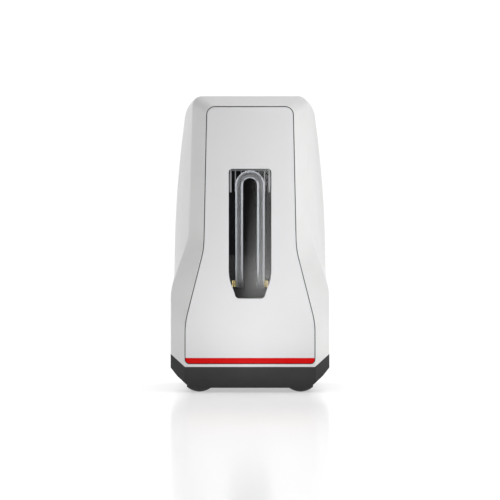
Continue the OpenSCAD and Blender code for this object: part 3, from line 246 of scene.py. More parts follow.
def half_slice(u, inset):
    """Right half of one upright slice of the shell, from the joint line up and over the shoulder, in mm."""
    round_off = 1 - (1 - max(u, 0)) ** 2
    r = max((plateau_r if u < 0 else mix(crease_r, shoulder_r, round_off)) - inset, 0.6)
    top = (plateau_top if u < 0 else height - brow_drop * (1 - round_off)) - inset
    lean = math.atan(half_width(top - r - 1, u) - half_width(top - r, u))
    arc_z = top - r * (1 - math.sin(lean))
    side = [joint_z, 15, 20] + spread(flare_top, neck_from, 24)
    side += spread(neck_from, lean_from, 7)[1:] + spread(lean_from, arc_z, 7)[1:]
    points = [(half_width(z, u) - inset, z) for z in side]
    centre = half_width(arc_z, u) - inset - r * math.cos(lean)
    for a in spread(lean, math.pi / 2, 9)[1:]:
        points.append((centre + r * math.cos(a), top - r + r * math.sin(a)))
    return points


def ring(d, u, inset):
    """A whole slice at depth d: up the right side and down the left, leaned in toward the top of the back."""
    half = half_slice(u, inset)
    points = []
    for x, z in half + [(-x, z) for x, z in reversed(half)]:
        lean = lean_back * (max(0.0, z - lean_from) / (height - lean_from)) ** 2
        y = d if d <= belly_y else belly_y + (d - belly_y) * (depth - lean - belly_y) / (depth - belly_y)
        points.append(Vector((x, y, z)))
    return points


def rows_of(t):
    """The slices of the skin (t = 0) or of the inside face of the wall (t = wall), front to back."""
    if t:
        rows = [ring(3.4, -1, 0.3), ring(chamfer_y + 0.9, 0, t)]
        rows += [ring(mix(chamfer_y + 0.9, belly_y, u), u, t) for u in spread(0, 1, 5)[1:]]
    else:
        flat, crease = ring(0, -1, 0), ring(chamfer_y, 0, 0)
        flank = ring(chamfer_y + 0.6, 0.6 / (belly_y - chamfer_y), 0)
        near = [c + (p - c).normalized() * 0.5 for p, c in zip(flat, crease)]
        rows = [flat]
        for w in spread(0, 1, 5):
            rows.append([
                n * (1 - w) ** 2 + c * 2 * w * (1 - w) + f * w * w for n, c, f in zip(near, crease, flank)
            ])
        rows += [ring(mix(chamfer_y, belly_y, u), u, 0) for u in (0.12, 0.25, 0.4, 0.6, 0.8, 1.0)]
    rows += [ring(72, 1, t)]
    for a in spread(0, math.pi / 2, 9):
        r = rear_r - t
        rows.append(ring(depth - rear_r + r * math.sin(a), 1, t + r * (1 - math.cos(a))))
    return rows


def lofted(rows):
    """A sheet drawn over the slices, with its front and back closed by flat faces."""
    bm = bmesh.new()
    across, along = len(rows[0]) - 1, len(rows) - 1
    bmesh.ops.create_grid(bm, x_segments=across, y_segments=along, size=1)
    ends = [[], []]
    for v in bm.verts:
        i, j = round((v.co.x + 1) / 2 * across), round((v.co.y + 1) / 2 * along)
        v.co = rows[j][i]
        if j in (0, along):
            ends[j > 0].append((i, v))
    for end in ends:
        chain = [v for _, v in sorted(end, key=lambda pair: pair[0])]
        half = len(chain) // 2
        sides = (chain[:half], chain[half:])
        halves = [bm.edges.get(pair) for part in sides for pair in zip(part, part[1:])]
        bmesh.ops.bridge_loops(bm, edges=halves)
    bmesh.ops.recalc_face_normals(bm, faces=bm.faces)
    return bm


def plate(outline, y0, y1):
    """A flat plate: the (x, z) outline made solid from depth y0 to depth y1."""
    bm = bmesh.new()
    loop = [bm.verts.new((x, y0, z)) for x, z in outline]
    border = [bm.edges.new(pair) for pair in zip(loop, loop[1:] + loop[:1])]
    face = bmesh.ops.edgeloop_fill(bm, edges=border)["faces"]
    grown = bmesh.ops.extrude_face_region(bm, geom=face)["geom"]
    far = [g for g in grown if isinstance(g, bmesh.types.BMVert)]
    bmesh.ops.translate(bm, vec=(0, y1 - y0, 0), verts=far)
    bmesh.ops.recalc_face_normals(bm, faces=bm.faces)
    return bm


def box(x, y, z):
    """A block between two limits each way, used as stock or as a cutter."""
    bm = bmesh.new()
    size = [b - a for a, b in (x, y, z)]
    middle = [(a + b) / 2 for a, b in (x, y, z)]
    bmesh.ops.create_cube(bm, size=1, matrix=Matrix.Translation(middle) @ Matrix.Diagonal(size + [1]))
    return bm


def rod(r, start, end, sides=32):
    """A round bar from one point to another."""
    bm = bmesh.new()
    start, end = Vector(start), Vector(end)
    turn = (end - start).to_track_quat("Z", "Y").to_matrix().to_4x4()
    bmesh.ops.create_cone(
        bm, cap_ends=True, segments=sides, radius1=r, radius2=r, depth=(end - start).length,
        matrix=Matrix.Translation((start + end) / 2) @ turn,
    )
    return bm


def joined(*parts):
    """Several bmeshes in one."""
    whole = bmesh.new()
    for bm in parts:
        lump = bpy.data.meshes.new("lump")
        bm.to_mesh(lump)
        whole.from_mesh(lump)
        bm.free()
        bpy.data.meshes.remove(lump)
    return whole


def carved(stock, *tools, how="DIFFERENCE"):
    """The stock with each tool cut out of it, or welded to it."""
    shapes = []
    for bm in (stock, *tools):
        mesh = bpy.data.meshes.new("shape")
        bm.to_mesh(mesh)
        bm.free()
        shape = bpy.data.objects.new("shape", mesh)
        scene.collection.objects.link(shape)
        shapes.append(shape)
    for tool in shapes[1:]:
        cut = shapes[0].modifiers.new("cut", "BOOLEAN")
        cut.solver, cut.operation, cut.object = "EXACT", how, tool
    bpy.context.view_layer.update()
    finished = shapes[0].evaluated_get(bpy.context.evaluated_depsgraph_get())
    solid = bpy.data.meshes.new_from_object(finished)
    result = bmesh.new()
    result.from_mesh(solid)
    for mesh in [solid] + [s.data for s in shapes]:
        bpy.data.meshes.remove(mesh)
    return result


def rounded_edges(bm, where, width, steps=3):
    """Rounds the edges that stand at more than 35 degrees and whose middle is where it should be."""
    edges = []
    for e in bm.edges:
        bent = len(e.link_faces) == 2 and e.calc_face_angle(0) > math.radians(35)
        if bent and where((e.verts[0].co + e.verts[1].co) / 2):
            edges.append(e)
    bmesh.ops.bevel(
        bm, geom=edges, affect="EDGES", offset_type="OFFSET", offset=width, segments=steps, profile=0.5,
        material=-1, clamp_overlap=True,
    )
    return bm


def piece(name, bm, finish, body="meter", stands_for=(), sharp=32, flat_faces=False):
    """Makes an object of a bmesh drawn in mm, its depth from the front face, and hands it to the frame."""
    to_frame = Matrix.Scale(0.001, 4) @ Matrix.Translation((0, front_face * 1000, 0))
    bmesh.ops.remove_doubles(bm, verts=bm.verts, dist=0.0005)
    bmesh.ops.transform(bm, matrix=to_frame, verts=bm.verts)
    for f in bm.faces:
        f.smooth = True
    for e in bm.edges:
        e.smooth = len(e.link_faces) == 2 and e.calc_face_angle(0) < math.radians(sharp)
    mesh = bpy.data.meshes.new(name)
    bm.to_mesh(mesh)
    bm.free()
    mesh.materials.append(finish)
    thing = bpy.data.objects.new(name, mesh)
    scene.collection.objects.link(thing)
    if flat_faces:
        even = thing.modifiers.new("even_shading", "WEIGHTED_NORMAL")
        even.keep_sharp = True
    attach(thing, body)
    if stands_for:
        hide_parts(*stands_for)
    return thing


def moulded(name, colour, grain=0.4, lift=0.02, gloss=(0.42, 0.55), mottle=0.03, specular=0.4):
    """Moulded plastic: a fine spark-eroded grain, a little mottling in the colour, a gloss that varies."""
    finish = bpy.data.materials.new(name)
    finish.use_nodes = True
    nodes, links = finish.node_tree.nodes, finish.node_tree.links
    shader = nodes["Principled BSDF"]
    shader.inputs["Specular IOR Level"].default_value = specular
    place = nodes.new("ShaderNodeTexCoord")
    cloud = nodes.new("ShaderNodeTexNoise")
    cloud.inputs["Scale"].default_value = 90
    cloud.inputs["Detail"].default_value = 4
    tint = nodes.new("ShaderNodeValToRGB")
    tint.color_ramp.elements[0].position, tint.color_ramp.elements[1].position = 0.3, 0.7
    tint.color_ramp.elements[0].color = [c * (1 - mottle) for c in colour] + [1]
    tint.color_ramp.elements[1].color = [min(1, c * (1 + mottle)) for c in colour] + [1]
    speck = nodes.new("ShaderNodeTexNoise")
    speck.inputs["Scale"].default_value = 1000 / grain
    speck.inputs["Detail"].default_value = 2
    sheen = nodes.new("ShaderNodeMapRange")
    sheen.inputs["To Min"].default_value, sheen.inputs["To Max"].default_value = gloss
    bump = nodes.new("ShaderNodeBump")
    bump.inputs["Strength"].default_value = 0.6
    bump.inputs["Distance"].default_value = lift / 1000
    links.new(place.outputs["Object"], cloud.inputs["Vector"])
    links.new(place.outputs["Object"], speck.inputs["Vector"])
    links.new(cloud.outputs["Fac"], tint.inputs["Fac"])
    links.new(cloud.outputs["Fac"], sheen.inputs["Value"])
    links.new(tint.outputs["Color"], shader.inputs["Base Color"])
    links.new(sheen.outputs["Result"], shader.inputs["Roughness"])
    links.new(speck.outputs["Fac"], bump.inputs["Height"])
    links.new(bump.outputs["Normal"], shader.inputs["Normal"])
    return finish


def fascia_outline(grow=0.0):
    """Front view of the fascia and the strip below it, grown by a margin, as (x, z) points."""
    r, rt, low, top = fascia_foot_r + grow, fascia_top_r + grow, fascia_low - grow, fascia_top + grow
    foot, neck = fascia_foot + grow - r, fascia_half(top - rt) + grow - rt
    half = [(foot + r * math.cos(a), low + r + r * math.sin(a)) for a in spread(-math.pi / 2, 0, 8)]
    half += [(fascia_half(z) + grow, z) for z in spread(flare_top, neck_from, 30)]
    half += [(neck + rt * math.cos(a), top - rt + rt * math.sin(a)) for a in spread(0, math.pi / 2, 12)]
    return half + [(-x, z) for x, z in reversed(half)]


def window_outline(grow=0.0):
    """Front view of the window, narrower at its foot, grown by a margin, as (x, z) points."""
    r, rt, low, top = window_foot_r + grow, window_top_r + grow, window_low - grow, window_top + grow
    foot, shoulder = window_half(window_low + window_foot_r) + grow - r, window_w + grow - rt
    half = [(foot + r * math.cos(a), low + r + r * math.sin(a)) for a in spread(-math.pi / 2, 0, 8)]
    half += [(window_half(z) + grow, z) for z in spread(low + r, taper_from + 3, 8)[1:]]
    half += [(shoulder + rt * math.cos(a), top - rt + rt * math.sin(a)) for a in spread(0, math.pi / 2, 8)]
    return half + [(-x, z) for x, z in reversed(half)]


def rounded_box(w, z0, z1, r, steps=8):
    """Front view of an upright rectangle with round corners, as (x, z) points."""
    x, low, top = w / 2 - r, z0 + r, z1 - r
    corners = [(x, low, -90), (x, top, 0), (-x, top, 90), (-x, low, 180)]
    return [
        (x + r * math.cos(math.radians(a)), z + r * math.sin(math.radians(a)))
        for x, z, start in corners for a in spread(start, start + 90, steps)
    ]


white_shell = moulded(
    "white_shell", (0.80, 0.80, 0.795), grain=0.55, lift=0.03, gloss=(0.38, 0.5), mottle=0.02,
)
skin, inside = lofted(rows_of(0)), lofted(rows_of(wall))
bmesh.ops.reverse_faces(inside, faces=inside.faces)
shell = joined(skin, inside)
bmesh.ops.bridge_loops(shell, edges=[e for e in shell.edges if len(e.link_faces) == 1])
corner = [
    (joint_x, joint_z - 5), (joint_x, joint_z), (joint_x + joint_run, joint_z + joint_run * joint_rise),
    (joint_x + joint_run, joint_z - 5),
]
shell = carved(
    shell,
    plate(fascia_outline(0.35), -1, 1.6),
    plate(window_outline(2.05), 1, 3.9),
    plate(corner, -1, 101),
    plate([(-x, z) for x, z in corner], -1, 101),
    box((-door_half, door_half), (95, 101), (door_low, door_top)),
    plate(rounded_box(panel_w, panel_low, panel_top, panel_r), 97.5, 101),
)


def housing_lip(p):
    """Whether a point lies on the rear lip of the battery bay or of the rear panel."""
    at_door = abs(p.x) < door_half + 0.2 and door_low - 0.2 < p.z < door_top + 0.2
    at_panel = abs(p.x) < panel_w / 2 + 0.2 and panel_low - 0.2 < p.z < panel_top + 0.2
    return p.y > 99.95 and (at_door or at_panel)


rounded_edges(shell, housing_lip, 0.3)
posts = [rod(2.5, (x, 2.9, z), (x, 6.4, z)) for x in (-cell_post_x, cell_post_x) for z in cell_post_z]
posts += [rod(3, (x, y, 12), (x, y, 26)) for x in (-tray_post_x, tray_post_x) for y in tray_post_y]
posts += [
    box(sorted((tray_post_x * s, web_x * s)), (y - web_half, y + web_half), (17, 26))
    for s in (-1, 1) for y in tray_post_y
]
shell = joined(shell, *posts)
piece("housing_shell", shell, white_shell, stands_for=["housing"], flat_faces=True)

# Fascia. A smooth injection-moulded plate, let flush into the housing's recess. Its rim and the window's
# rim are slightly rounded.
fascia_t, strip_top, rim_r = 1.6, 14.6, 0.22
white_fascia = moulded(
    "white_fascia", (0.80, 0.80, 0.81), grain=0.9, lift=0.004, gloss=(0.3, 0.36), mottle=0.008,
)
below_fascia = [(-40, 5), (40, 5), (40, strip_top), (-40, strip_top)]
fascia = carved(plate(fascia_outline(), 0, fascia_t), plate(window_outline(), -1, 3))
fascia = carved(fascia, plate(below_fascia, -1, 3))
rounded_edges(fascia, lambda p: p.y < 0.01, rim_r)
piece("fascia_plate", fascia, white_fascia, stands_for=["front_fascia"], flat_faces=True)

# Seam shade. A black bead set into the joint round the fascia and the strip, a little below their faces. Its
# black is painted shade: it darkens the joint on top of the gap's own shade, so that a thin dark line shows.
black_rubber = moulded(
    "black_rubber", (0.02, 0.02, 0.02), grain=0.3, lift=0.03, gloss=(0.7, 0.85), mottle=0.2,
)
# The bead's black is painted shade along the fascia's joint; the same black finish is real rubber on the
# window gasket and the port seals.
seam_shade = carved(plate(fascia_outline(0.34), 0.3, 1.58), plate(fascia_outline(0.01), -1, 3))
piece("seam_shade_bead", seam_shade, black_rubber, flat_faces=True)

# Accent strip. A red moulded bar that closes the foot of the fascia in the same recess, a little glossier
# than the white plastic.
red_strip = moulded(
    "red_strip", (0.72, 0.002, 0.002), grain=1.2, lift=0.002, gloss=(0.24, 0.28), mottle=0.04, specular=0.1,
)
above_strip = [(-40, strip_top), (40, strip_top), (40, 130), (-40, 130)]
strip = carved(plate(fascia_outline(), 0, fascia_t), plate(above_strip, -1, 3))
rounded_edges(strip, lambda p: p.y < 0.01, rim_r)
piece("accent_bar", strip, red_strip, stands_for=["accent_strip"], flat_faces=True)


# Window. A clear acrylic pane behind the fascia's opening, with a black rubber gasket between it and the
# measuring cell.
def cad_finish(finish, *names):
    """Gives CAD nodes whose shape stays a finish of their own."""
    for name in names:
        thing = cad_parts[name]
        thing.data.materials.clear()
        thing.data.materials.append(finish)


def clear(name, colour, rough=(0.0, 0.03), ior=1.45):
    """Clear glass or plastic with a thin, uneven haze."""
    finish = bpy.data.materials.new(name)
    finish.use_nodes = True
    nodes, links = finish.node_tree.nodes, finish.node_tree.links
    shader = nodes["Principled BSDF"]
    shader.inputs["Base Color"].default_value = (*colour, 1)
    shader.inputs["Transmission Weight"].default_value = 1.0
    shader.inputs["IOR"].default_value = ior
    place = nodes.new("ShaderNodeTexCoord")
    film = nodes.new("ShaderNodeTexNoise")
    film.inputs["Scale"].default_value = 120
    film.inputs["Detail"].default_value = 3
    haze = nodes.new("ShaderNodeMapRange")
    haze.inputs["From Min"].default_value, haze.inputs["From Max"].default_value = 0.4, 0.7
    haze.inputs["To Min"].default_value, haze.inputs["To Max"].default_value = rough
    links.new(place.outputs["Object"], film.inputs["Vector"])
    links.new(film.outputs["Fac"], haze.inputs["Value"])
    links.new(haze.outputs["Result"], shader.inputs["Roughness"])
    return finish


cad_finish(clear("window_glass", (0.98, 0.985, 0.99), rough=(0.0, 0.02), ior=1.25), "window_pane")
cad_finish(black_rubber, "window_gasket")

# Measuring cell. A satin black moulded box, held by four screws to the posts behind the front wall. The
# glass tube is rooted in the ledge at its foot.
black_cell = moulded(
    "black_cell", (0.004, 0.004, 0.0045), grain=0.35, lift=0.006, gloss=(0.5, 0.6), mottle=0.1, specular=0.04,
)


def dressed_copy(name, node, finish, body="meter", edge=0.25, steps=2, over=40):
    """The CAD node's own shape with its edges rounded."""
    bm = bmesh.new()
    bm.from_mesh(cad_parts[node].data)
    to_drawing = Matrix.Translation((0, -front_face * 1000, 0)) @ Matrix.Scale(1000, 4)
    bmesh.ops.transform(bm, matrix=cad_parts[node].matrix_world, verts=bm.verts)
    bmesh.ops.transform(bm, matrix=to_drawing, verts=bm.verts)
    bmesh.ops.remove_doubles(bm, verts=bm.verts, dist=0.002)
    bmesh.ops.dissolve_limit(bm, angle_limit=math.radians(1), verts=bm.verts, edges=bm.edges)
    thing = piece(name, bm, finish, body=body, stands_for=[node])
    soft = thing.modifiers.new("rounded_edges", "BEVEL")
    soft.width, soft.segments, soft.profile = edge / 1000, steps, 0.5
    soft.limit_method, soft.angle_limit = "ANGLE", math.radians(over)
    soft.use_clamp_overlap, soft.harden_normals = True, True
    even = thing.modifiers.new("even_shading", "WEIGHTED_NORMAL")
    even.keep_sharp = True
    return thing


dressed_copy("cell_box", "cell_housing", black_cell, edge=0.2)

# Light bars. Slim frosted bars glued to the cell's side walls and ceiling, out of sight beside the window.
# They make the edges of the glass tube shine.
bar_x, bar_half, bar_edge = 9.85, 0.3, 0.2
frosted = moulded("frosted_light_bar", (0.85, 0.87, 0.9), grain=0.3, lift=0.01, gloss=(0.5, 0.6))
nodes, links = frosted.node_tree.nodes, frosted.node_tree.links
along_bar = nodes.new("ShaderNodeSeparateXYZ")
fading = nodes.new("ShaderNodeMapRange")
fading.inputs["From Min"].default_value, fading.inputs["From Max"].default_value = 0.041, 0.094
fading.inputs["To Min"].default_value, fading.inputs["To Max"].default_value = 0.8, 1.3
links.new(nodes["Texture Coordinate"].outputs["Object"], along_bar.inputs["Vector"])
links.new(along_bar.outputs["Z"], fading.inputs["Value"])
links.new(fading.outputs["Result"], nodes["Principled BSDF"].inputs["Emission Strength"])
nodes["Principled BSDF"].inputs["Emission Color"].default_value = (0.95, 0.97, 1, 1)
for name, x in (("left", -bar_x), ("right", bar_x)):
    high = box((x - bar_half, x + bar_half), (8, 19.4), (50.6, 94))
    low = box((x - bar_half, x + bar_half), (8, 15.2), (41, 50.6))
    bar = carved(high, low, how="UNION")
    rounded_edges(bar, lambda p: True, bar_edge, 2)
    piece("light_bar_" + name, bar, frosted, flat_faces=True)
bar = box((-8.5, 8.5), (9, 15), (95.7, 96.3))
rounded_edges(bar, lambda p: True, bar_edge, 2)
piece("light_bar_top", bar, frosted, flat_faces=True)

# Glint comb. A grey moulded comb, glued to the back of the cell behind the tube's bow. Its pale teeth are
# painted glints: they stand in for the bright streaks of reflected light at the top of the window.
painted_glint_grey = moulded("painted_glint_grey", (0.28, 0.28, 0.28), grain=0.4, lift=0.01, gloss=(0.4, 0.5))
glint_teeth = [
    box((side * x - w / 2, side * x + w / 2), (17.4, 19.5), (85.4, 95.7))
    for side in (1, -1) for x, w in ((8.35, 0.8), (6.3, 0.45), (3.8, 0.35))
]
# The upright teeth are painted glints, placed where the window shows streaks of reflected light.
glint_ribs = carved(box((-8.75, 8.75), (19, 19.6), (94.6, 96.2)), *glint_teeth, how="UNION")
rounded_edges(glint_ribs, lambda p: True, 0.08, 2)
piece("glint_comb", glint_ribs, painted_glint_grey, flat_faces=True)

# U-tube. Thin borosilicate glass, bent in one piece: two legs and a bow, turned back at the feet to run
# through the metal block behind the cell.
glass_r, bore_r, leg_x, leg_y, root_z = 1.65, 1.1, 4.62, 12, 46.1
bend_y, bend_z, bow_z, stub_end = 14.6, 48.7, 88.35, 42
tube_glass = clear("tube_glass", (0.9, 0.91, 0.92), rough=(0.1, 0.14), ior=1.47)
tube_glass.node_tree.nodes["Principled BSDF"].inputs["Transmission Weight"].default_value = 0.8
tube = bmesh.new()
for r in (glass_r, bore_r):
    bmesh.ops.create_circle(tube, segments=32, radius=r)
bmesh.ops.bridge_loops(tube, edges=tube.edges[:])
to_root = Matrix.Translation((leg_x, stub_end, root_z)) @ Matrix.Rotation(math.radians(90), 4, "X")
bmesh.ops.transform(tube, matrix=to_root, verts=tube.verts)


def run_on(bm, end, step):
    """Draws the end faces out straight and gives the new end."""
    geom = bmesh.ops.extrude_face_region(bm, geom=end)["geom"]
    bmesh.ops.translate(bm, vec=step, verts=[g for g in geom if isinstance(g, bmesh.types.BMVert)])
    return [g for g in geom if isinstance(g, bmesh.types.BMFace)]


def bend_on(bm, end, centre, axis, angle, steps):
    """Draws the end faces round a centre and gives the new end."""
    ends = set(v for f in end for v in f.verts)
    geom = list(end) + list(set(e for f in end for e in f.edges)) + list(ends)
    last = bmesh.ops.spin(
        bm, geom=geom, cent=centre, axis=axis, dvec=(0, 0, 0), angle=math.radians(angle), steps=steps,
        use_merge=False, use_normal_flip=False, use_duplicate=False,
    )["geom_last"]
    return [g for g in last if isinstance(g, bmesh.types.BMFace)]


end = run_on(tube, tube.faces[:], (0, bend_y - stub_end, 0))
end = bend_on(tube, end, (leg_x, bend_y, bend_z), (1, 0, 0), -90, 10)
end = run_on(tube, end, (0, 0, bow_z - bend_z))
end = bend_on(tube, end, (0, leg_y, bow_z), (0, 1, 0), -180, 32)
end = run_on(tube, end, (0, 0, bend_z - bow_z))
end = bend_on(tube, end, (-leg_x, bend_y, bend_z), (1, 0, 0), 90, 10)
run_on(tube, end, (0, stub_end - bend_y, 0))
bmesh.ops.recalc_face_normals(tube, faces=tube.faces)
piece("glass_u_tube", tube, tube_glass, stands_for=["u_tube"], sharp=50)


# Tube pins. Two turned brass pins in front of the tube's feet, each with a groove round its waist and a
# tail pressed into the cell's ledge.
def metal(name, colour, rough=(0.2, 0.35), scratch=(1, 1, 1)):
    """Bare metal with fine marks that are drawn out along its working direction."""
    finish = bpy.data.materials.new(name)
    finish.use_nodes = True
    nodes, links = finish.node_tree.nodes, finish.node_tree.links
    shader = nodes["Principled BSDF"]
    shader.inputs["Metallic"].default_value = 1.0
    place = nodes.new("ShaderNodeTexCoord")
    stretch = nodes.new("ShaderNodeMapping")
    stretch.inputs["Scale"].default_value = scratch
    marks = nodes.new("ShaderNodeTexNoise")
    marks.inputs["Scale"].default_value = 1000 / 0.6
    marks.inputs["Detail"].default_value = 3
    tint = nodes.new("ShaderNodeValToRGB")
    tint.color_ramp.elements[0].color = [c * 0.86 for c in colour] + [1]
    tint.color_ramp.elements[1].color = list(colour) + [1]
    sheen = nodes.new("ShaderNodeMapRange")
    sheen.inputs["To Min"].default_value, sheen.inputs["To Max"].default_value = rough
    bump = nodes.new("ShaderNodeBump")
    bump.inputs["Strength"].default_value = 0.4
    bump.inputs["Distance"].default_value = 0.002 / 1000
    links.new(place.outputs["Object"], stretch.inputs["Vector"])
    links.new(stretch.outputs["Vector"], marks.inputs["Vector"])
    links.new(marks.outputs["Fac"], tint.inputs["Fac"])
    links.new(marks.outputs["Fac"], sheen.inputs["Value"])
    links.new(marks.outputs["Fac"], bump.inputs["Height"])
    links.new(tint.outputs["Color"], shader.inputs["Base Color"])
    links.new(sheen.outputs["Result"], shader.inputs["Roughness"])
    links.new(bump.outputs["Normal"], shader.inputs["Normal"])
    return finish


def turned(profile, place=(0, 0, 0), along=(0, 0, 1), sides=40):
    """A body of revolution: the (radius, height) profile spun round its own axis, which then points along."""
    bm = bmesh.new()
    row = [bm.verts.new((r, 0, z)) for r, z in profile]
    edges = [bm.edges.new(pair) for pair in zip(row, row[1:])]
    bmesh.ops.spin(
        bm, geom=row + edges, cent=(0, 0, 0), axis=(0, 0, 1), dvec=(0, 0, 0), angle=math.radians(360),
        steps=sides, use_merge=True, use_normal_flip=False, use_duplicate=False,
    )
    bmesh.ops.remove_doubles(bm, verts=bm.verts, dist=0.0005)
    bmesh.ops.recalc_face_normals(bm, faces=bm.faces)
    turn = Vector(along).to_track_quat("Z", "Y").to_matrix().to_4x4()
    bmesh.ops.transform(bm, matrix=Matrix.Translation(place) @ turn, verts=bm.verts)
    return bm


pin_x, pin_y, pin_z = 6.77, 9.35, 46.0
brass = metal("brass", (1.0, 0.8, 0.33), rough=(0.16, 0.28), scratch=(1, 1, 6))
pin_head = [
    (0, -1.4), (0.72, -1.4), (0.9, -1.25), (0.9, -0.32), (0.62, -0.22), (0.62, 0.22), (0.9, 0.32),
    (0.9, 1.25), (0.72, 1.4), (0, 1.4),
]
pin_tail = [(0, 0), (0.45, 0), (0.45, 8.85), (0.35, 8.95), (0, 8.95)]
pins = []
for side in (-1, 1):
    pins.append(turned(pin_head, (side * pin_x, pin_y, pin_z)))
    pins.append(turned(pin_tail, (side * pin_x, pin_y, pin_z), (0, 1, 0), 20))
piece("brass_pins", joined(*pins), brass, stands_for=["tube_pins"])

# Bottom tray. A dark grey moulding with bevelled sides. Its lip locates the housing, and screws pass up
# through it into the housing's posts.
grey_tray = moulded(
    "grey_tray", (0.047, 0.047, 0.048), grain=0.6, lift=0.04, gloss=(0.5, 0.62), mottle=0.08, specular=0.2,
)
dressed_copy("bottom_tray", "base_tray", grey_tray, edge=0.45, steps=3, over=30)

# Feet. Four domed rubber feet, each glued into a pocket in the tray. Their upper rims show at the tray's
# bevel. The dome is part of a ball, with a small flat where it stands.
foot_x, foot_r, dome_r = 21.6, 5.4, 8.29
foot_rubber = moulded(
    "foot_rubber", (0.028, 0.028, 0.028), grain=0.35, lift=0.03, gloss=(0.6, 0.75), mottle=0.2,
)
dome = [(0, 0), (0.6, 0)]
dome += [(dome_r * math.sin(a), dome_r * (1 - math.cos(a))) for a in spread(0.1, 0.7095, 12)]
dome += [(foot_r, 2.7), (foot_r, 2.95), (5.35, 3.06), (5.25, 3.1), (0, 3.1)]
for end_name, y in (("front", 8), ("rear", 92)):
    for side_name, x in (("left", -foot_x), ("right", foot_x)):
        name = "foot_" + end_name + "_" + side_name
        foot = turned(dome, (x, y, 0), sides=48)
        piece("rubber_" + name, foot, foot_rubber, stands_for=[name])

# Rear panel. A dark moulded insert, held from inside by its flange. It carries the two ports, the button
# and the status light.
dressed_copy("rear_insert", "rear_panel", grey_tray, edge=0.25)

# Ports. Two black moulded female fittings, each with a round flange that rests on the panel over a rubber
# ring and a mouth with a collar. A nut inside holds each one.
port_x, port_z = 14.5, 69
port_plastic = moulded(
    "port_plastic", (0.03, 0.03, 0.032), grain=0.5, lift=0.004, gloss=(0.25, 0.35), mottle=0.1, specular=0.6,
)
port_shape = [
    (0.9, -12), (1.55, -12), (1.65, -11.8), (1.65, -7), (3.0, -7), (3.0, 0), (3.4, 0), (3.4, 0.9), (4.6, 0.9),
    (4.6, 0), (4.9, 0), (5.0, 0.1), (5.0, 1.25), (4.85, 1.4), (3.5, 1.4), (3.3, 1.6), (3.3, 5.8), (3.75, 5.8),
    (3.9, 5.95), (3.9, 6.85), (3.75, 7), (2.25, 7), (2.03, 6.8), (2.03, -0.5), (0.9, -0.5), (0.9, -12),
]
for name, x in (("inlet", -port_x), ("outlet", port_x)):
    fitting = turned(port_shape, (x, depth, port_z), (0, 1, 0), 48)
    piece(name + "_fitting", fitting, port_plastic, stands_for=[name + "_port"])
cad_finish(black_rubber, "port_seals")

# Power button. A light grey cap with a dished top and a raised black on/off mark, on a stem that presses
# the switch behind it. A clear acrylic rod above it carries the status light out to the panel.
button_z = 79.5
button_grey = moulded(
    "button_grey", (0.60, 0.60, 0.61), grain=0.5, lift=0.006, gloss=(0.35, 0.42), mottle=0.02,
)
cap = [
    (0, -6.5), (2, -6.5), (2, -2.6), (6.2, -3), (6.2, -2.05), (5.05, -2.05), (5.05, 0.75), (4.8, 1.0),
    (4.3, 1.0),
]
cap += [(r, 0.1 + 0.88 * (r / 4.2) ** 2) for r in (3.6, 3.0, 2.4, 1.8, 1.2, 0.6, 0.0)]
piece(
    "button_cap", turned(cap, (0, depth, button_z), (0, 1, 0), 48), button_grey, body="button",
    stands_for=["power_button"],
)
mark = bmesh.new()
section = [(0, 100.1, 1.25), (0, 100.1, 1.55), (0, 100.33, 1.55), (0, 100.33, 1.25)]
row = [mark.verts.new(corner) for corner in section]
border = [mark.edges.new(pair) for pair in zip(row, row[1:] + row[:1])]
end = bmesh.ops.edgeloop_fill(mark, edges=border)["faces"]
bmesh.ops.rotate(mark, cent=(0, 0, 0), matrix=Matrix.Rotation(math.radians(35), 3, "Y"), verts=mark.verts)
bend_on(mark, end, (0, depth, 0), (0, 1, 0), 290, 40)
bmesh.ops.recalc_face_normals(mark, faces=mark.faces)
mark = joined(mark, box((-0.15, 0.15), (100.1, 100.36), (0.5, 1.9)))
bmesh.ops.translate(mark, vec=(0, 0, button_z), verts=mark.verts)
black_part = moulded("black_part", (0.02, 0.02, 0.02), grain=0.3)
piece("button_mark", mark, black_part, body="button", flat_faces=True)
cad_finish(clear("light_pipe_acrylic", (0.9, 0.95, 0.9), rough=(0.2, 0.35)), "light_pipe")

# Battery door. A white moulded flap with a thumb hollow at its free edge and two ribs inside, between the
# cells. It swings on an upright steel pin through the barrel at its other edge.
dressed_copy("door_flap", "battery_door", white_shell, body="door", edge=0.25)
steel = metal("steel", (0.62, 0.62, 0.63), rough=(0.2, 0.34), scratch=(1, 1, 5))
cad_finish(steel, "door_pin")

# Battery cells. Three AAA cells in a printed film sleeve, with bare steel ends, laid head to tail. A
# tapered coil spring of steel wire pushes each one against the contact at its raised end.
cell_foot, cell_y, cell_r = 19.7, 89.05, 5.25
spring_x, spring_l, spring_r, wire_r, turns, steps = 24.45, 4.4, 3.05, 0.32, 4, 96
battery_skin = moulded("battery_skin", (0.02, 0.09, 0.055), grain=0.8, lift=0.001, gloss=(0.15, 0.25))
copper_film = metal("copper_film", (0.8, 0.42, 0.2), rough=(0.2, 0.3), scratch=(1, 6, 6))
sleeve_shape = [(0, 0.4), (4.3, 0.4), (4.4, 0.1), (4.75, 0), (5.1, 0.1), (cell_r, 0.4), (cell_r, 31), (0, 31)]
band_shape = [
    (0, 31), (cell_r, 31), (cell_r, 43.1), (5.1, 43.4), (4.75, 43.5), (4.4, 43.4), (4.3, 43.1), (0, 43.1),
]
flat_end = [(0, 0.12), (3.7, 0.12), (4.1, 0.3), (4.1, 0.5), (0, 0.5)]
raised_end = [(0, 43), (3.6, 43), (3.6, 43.3), (2.1, 43.42), (1.9, 43.6), (1.9, 44.3), (1.7, 44.5), (0, 44.5)]
coils = []
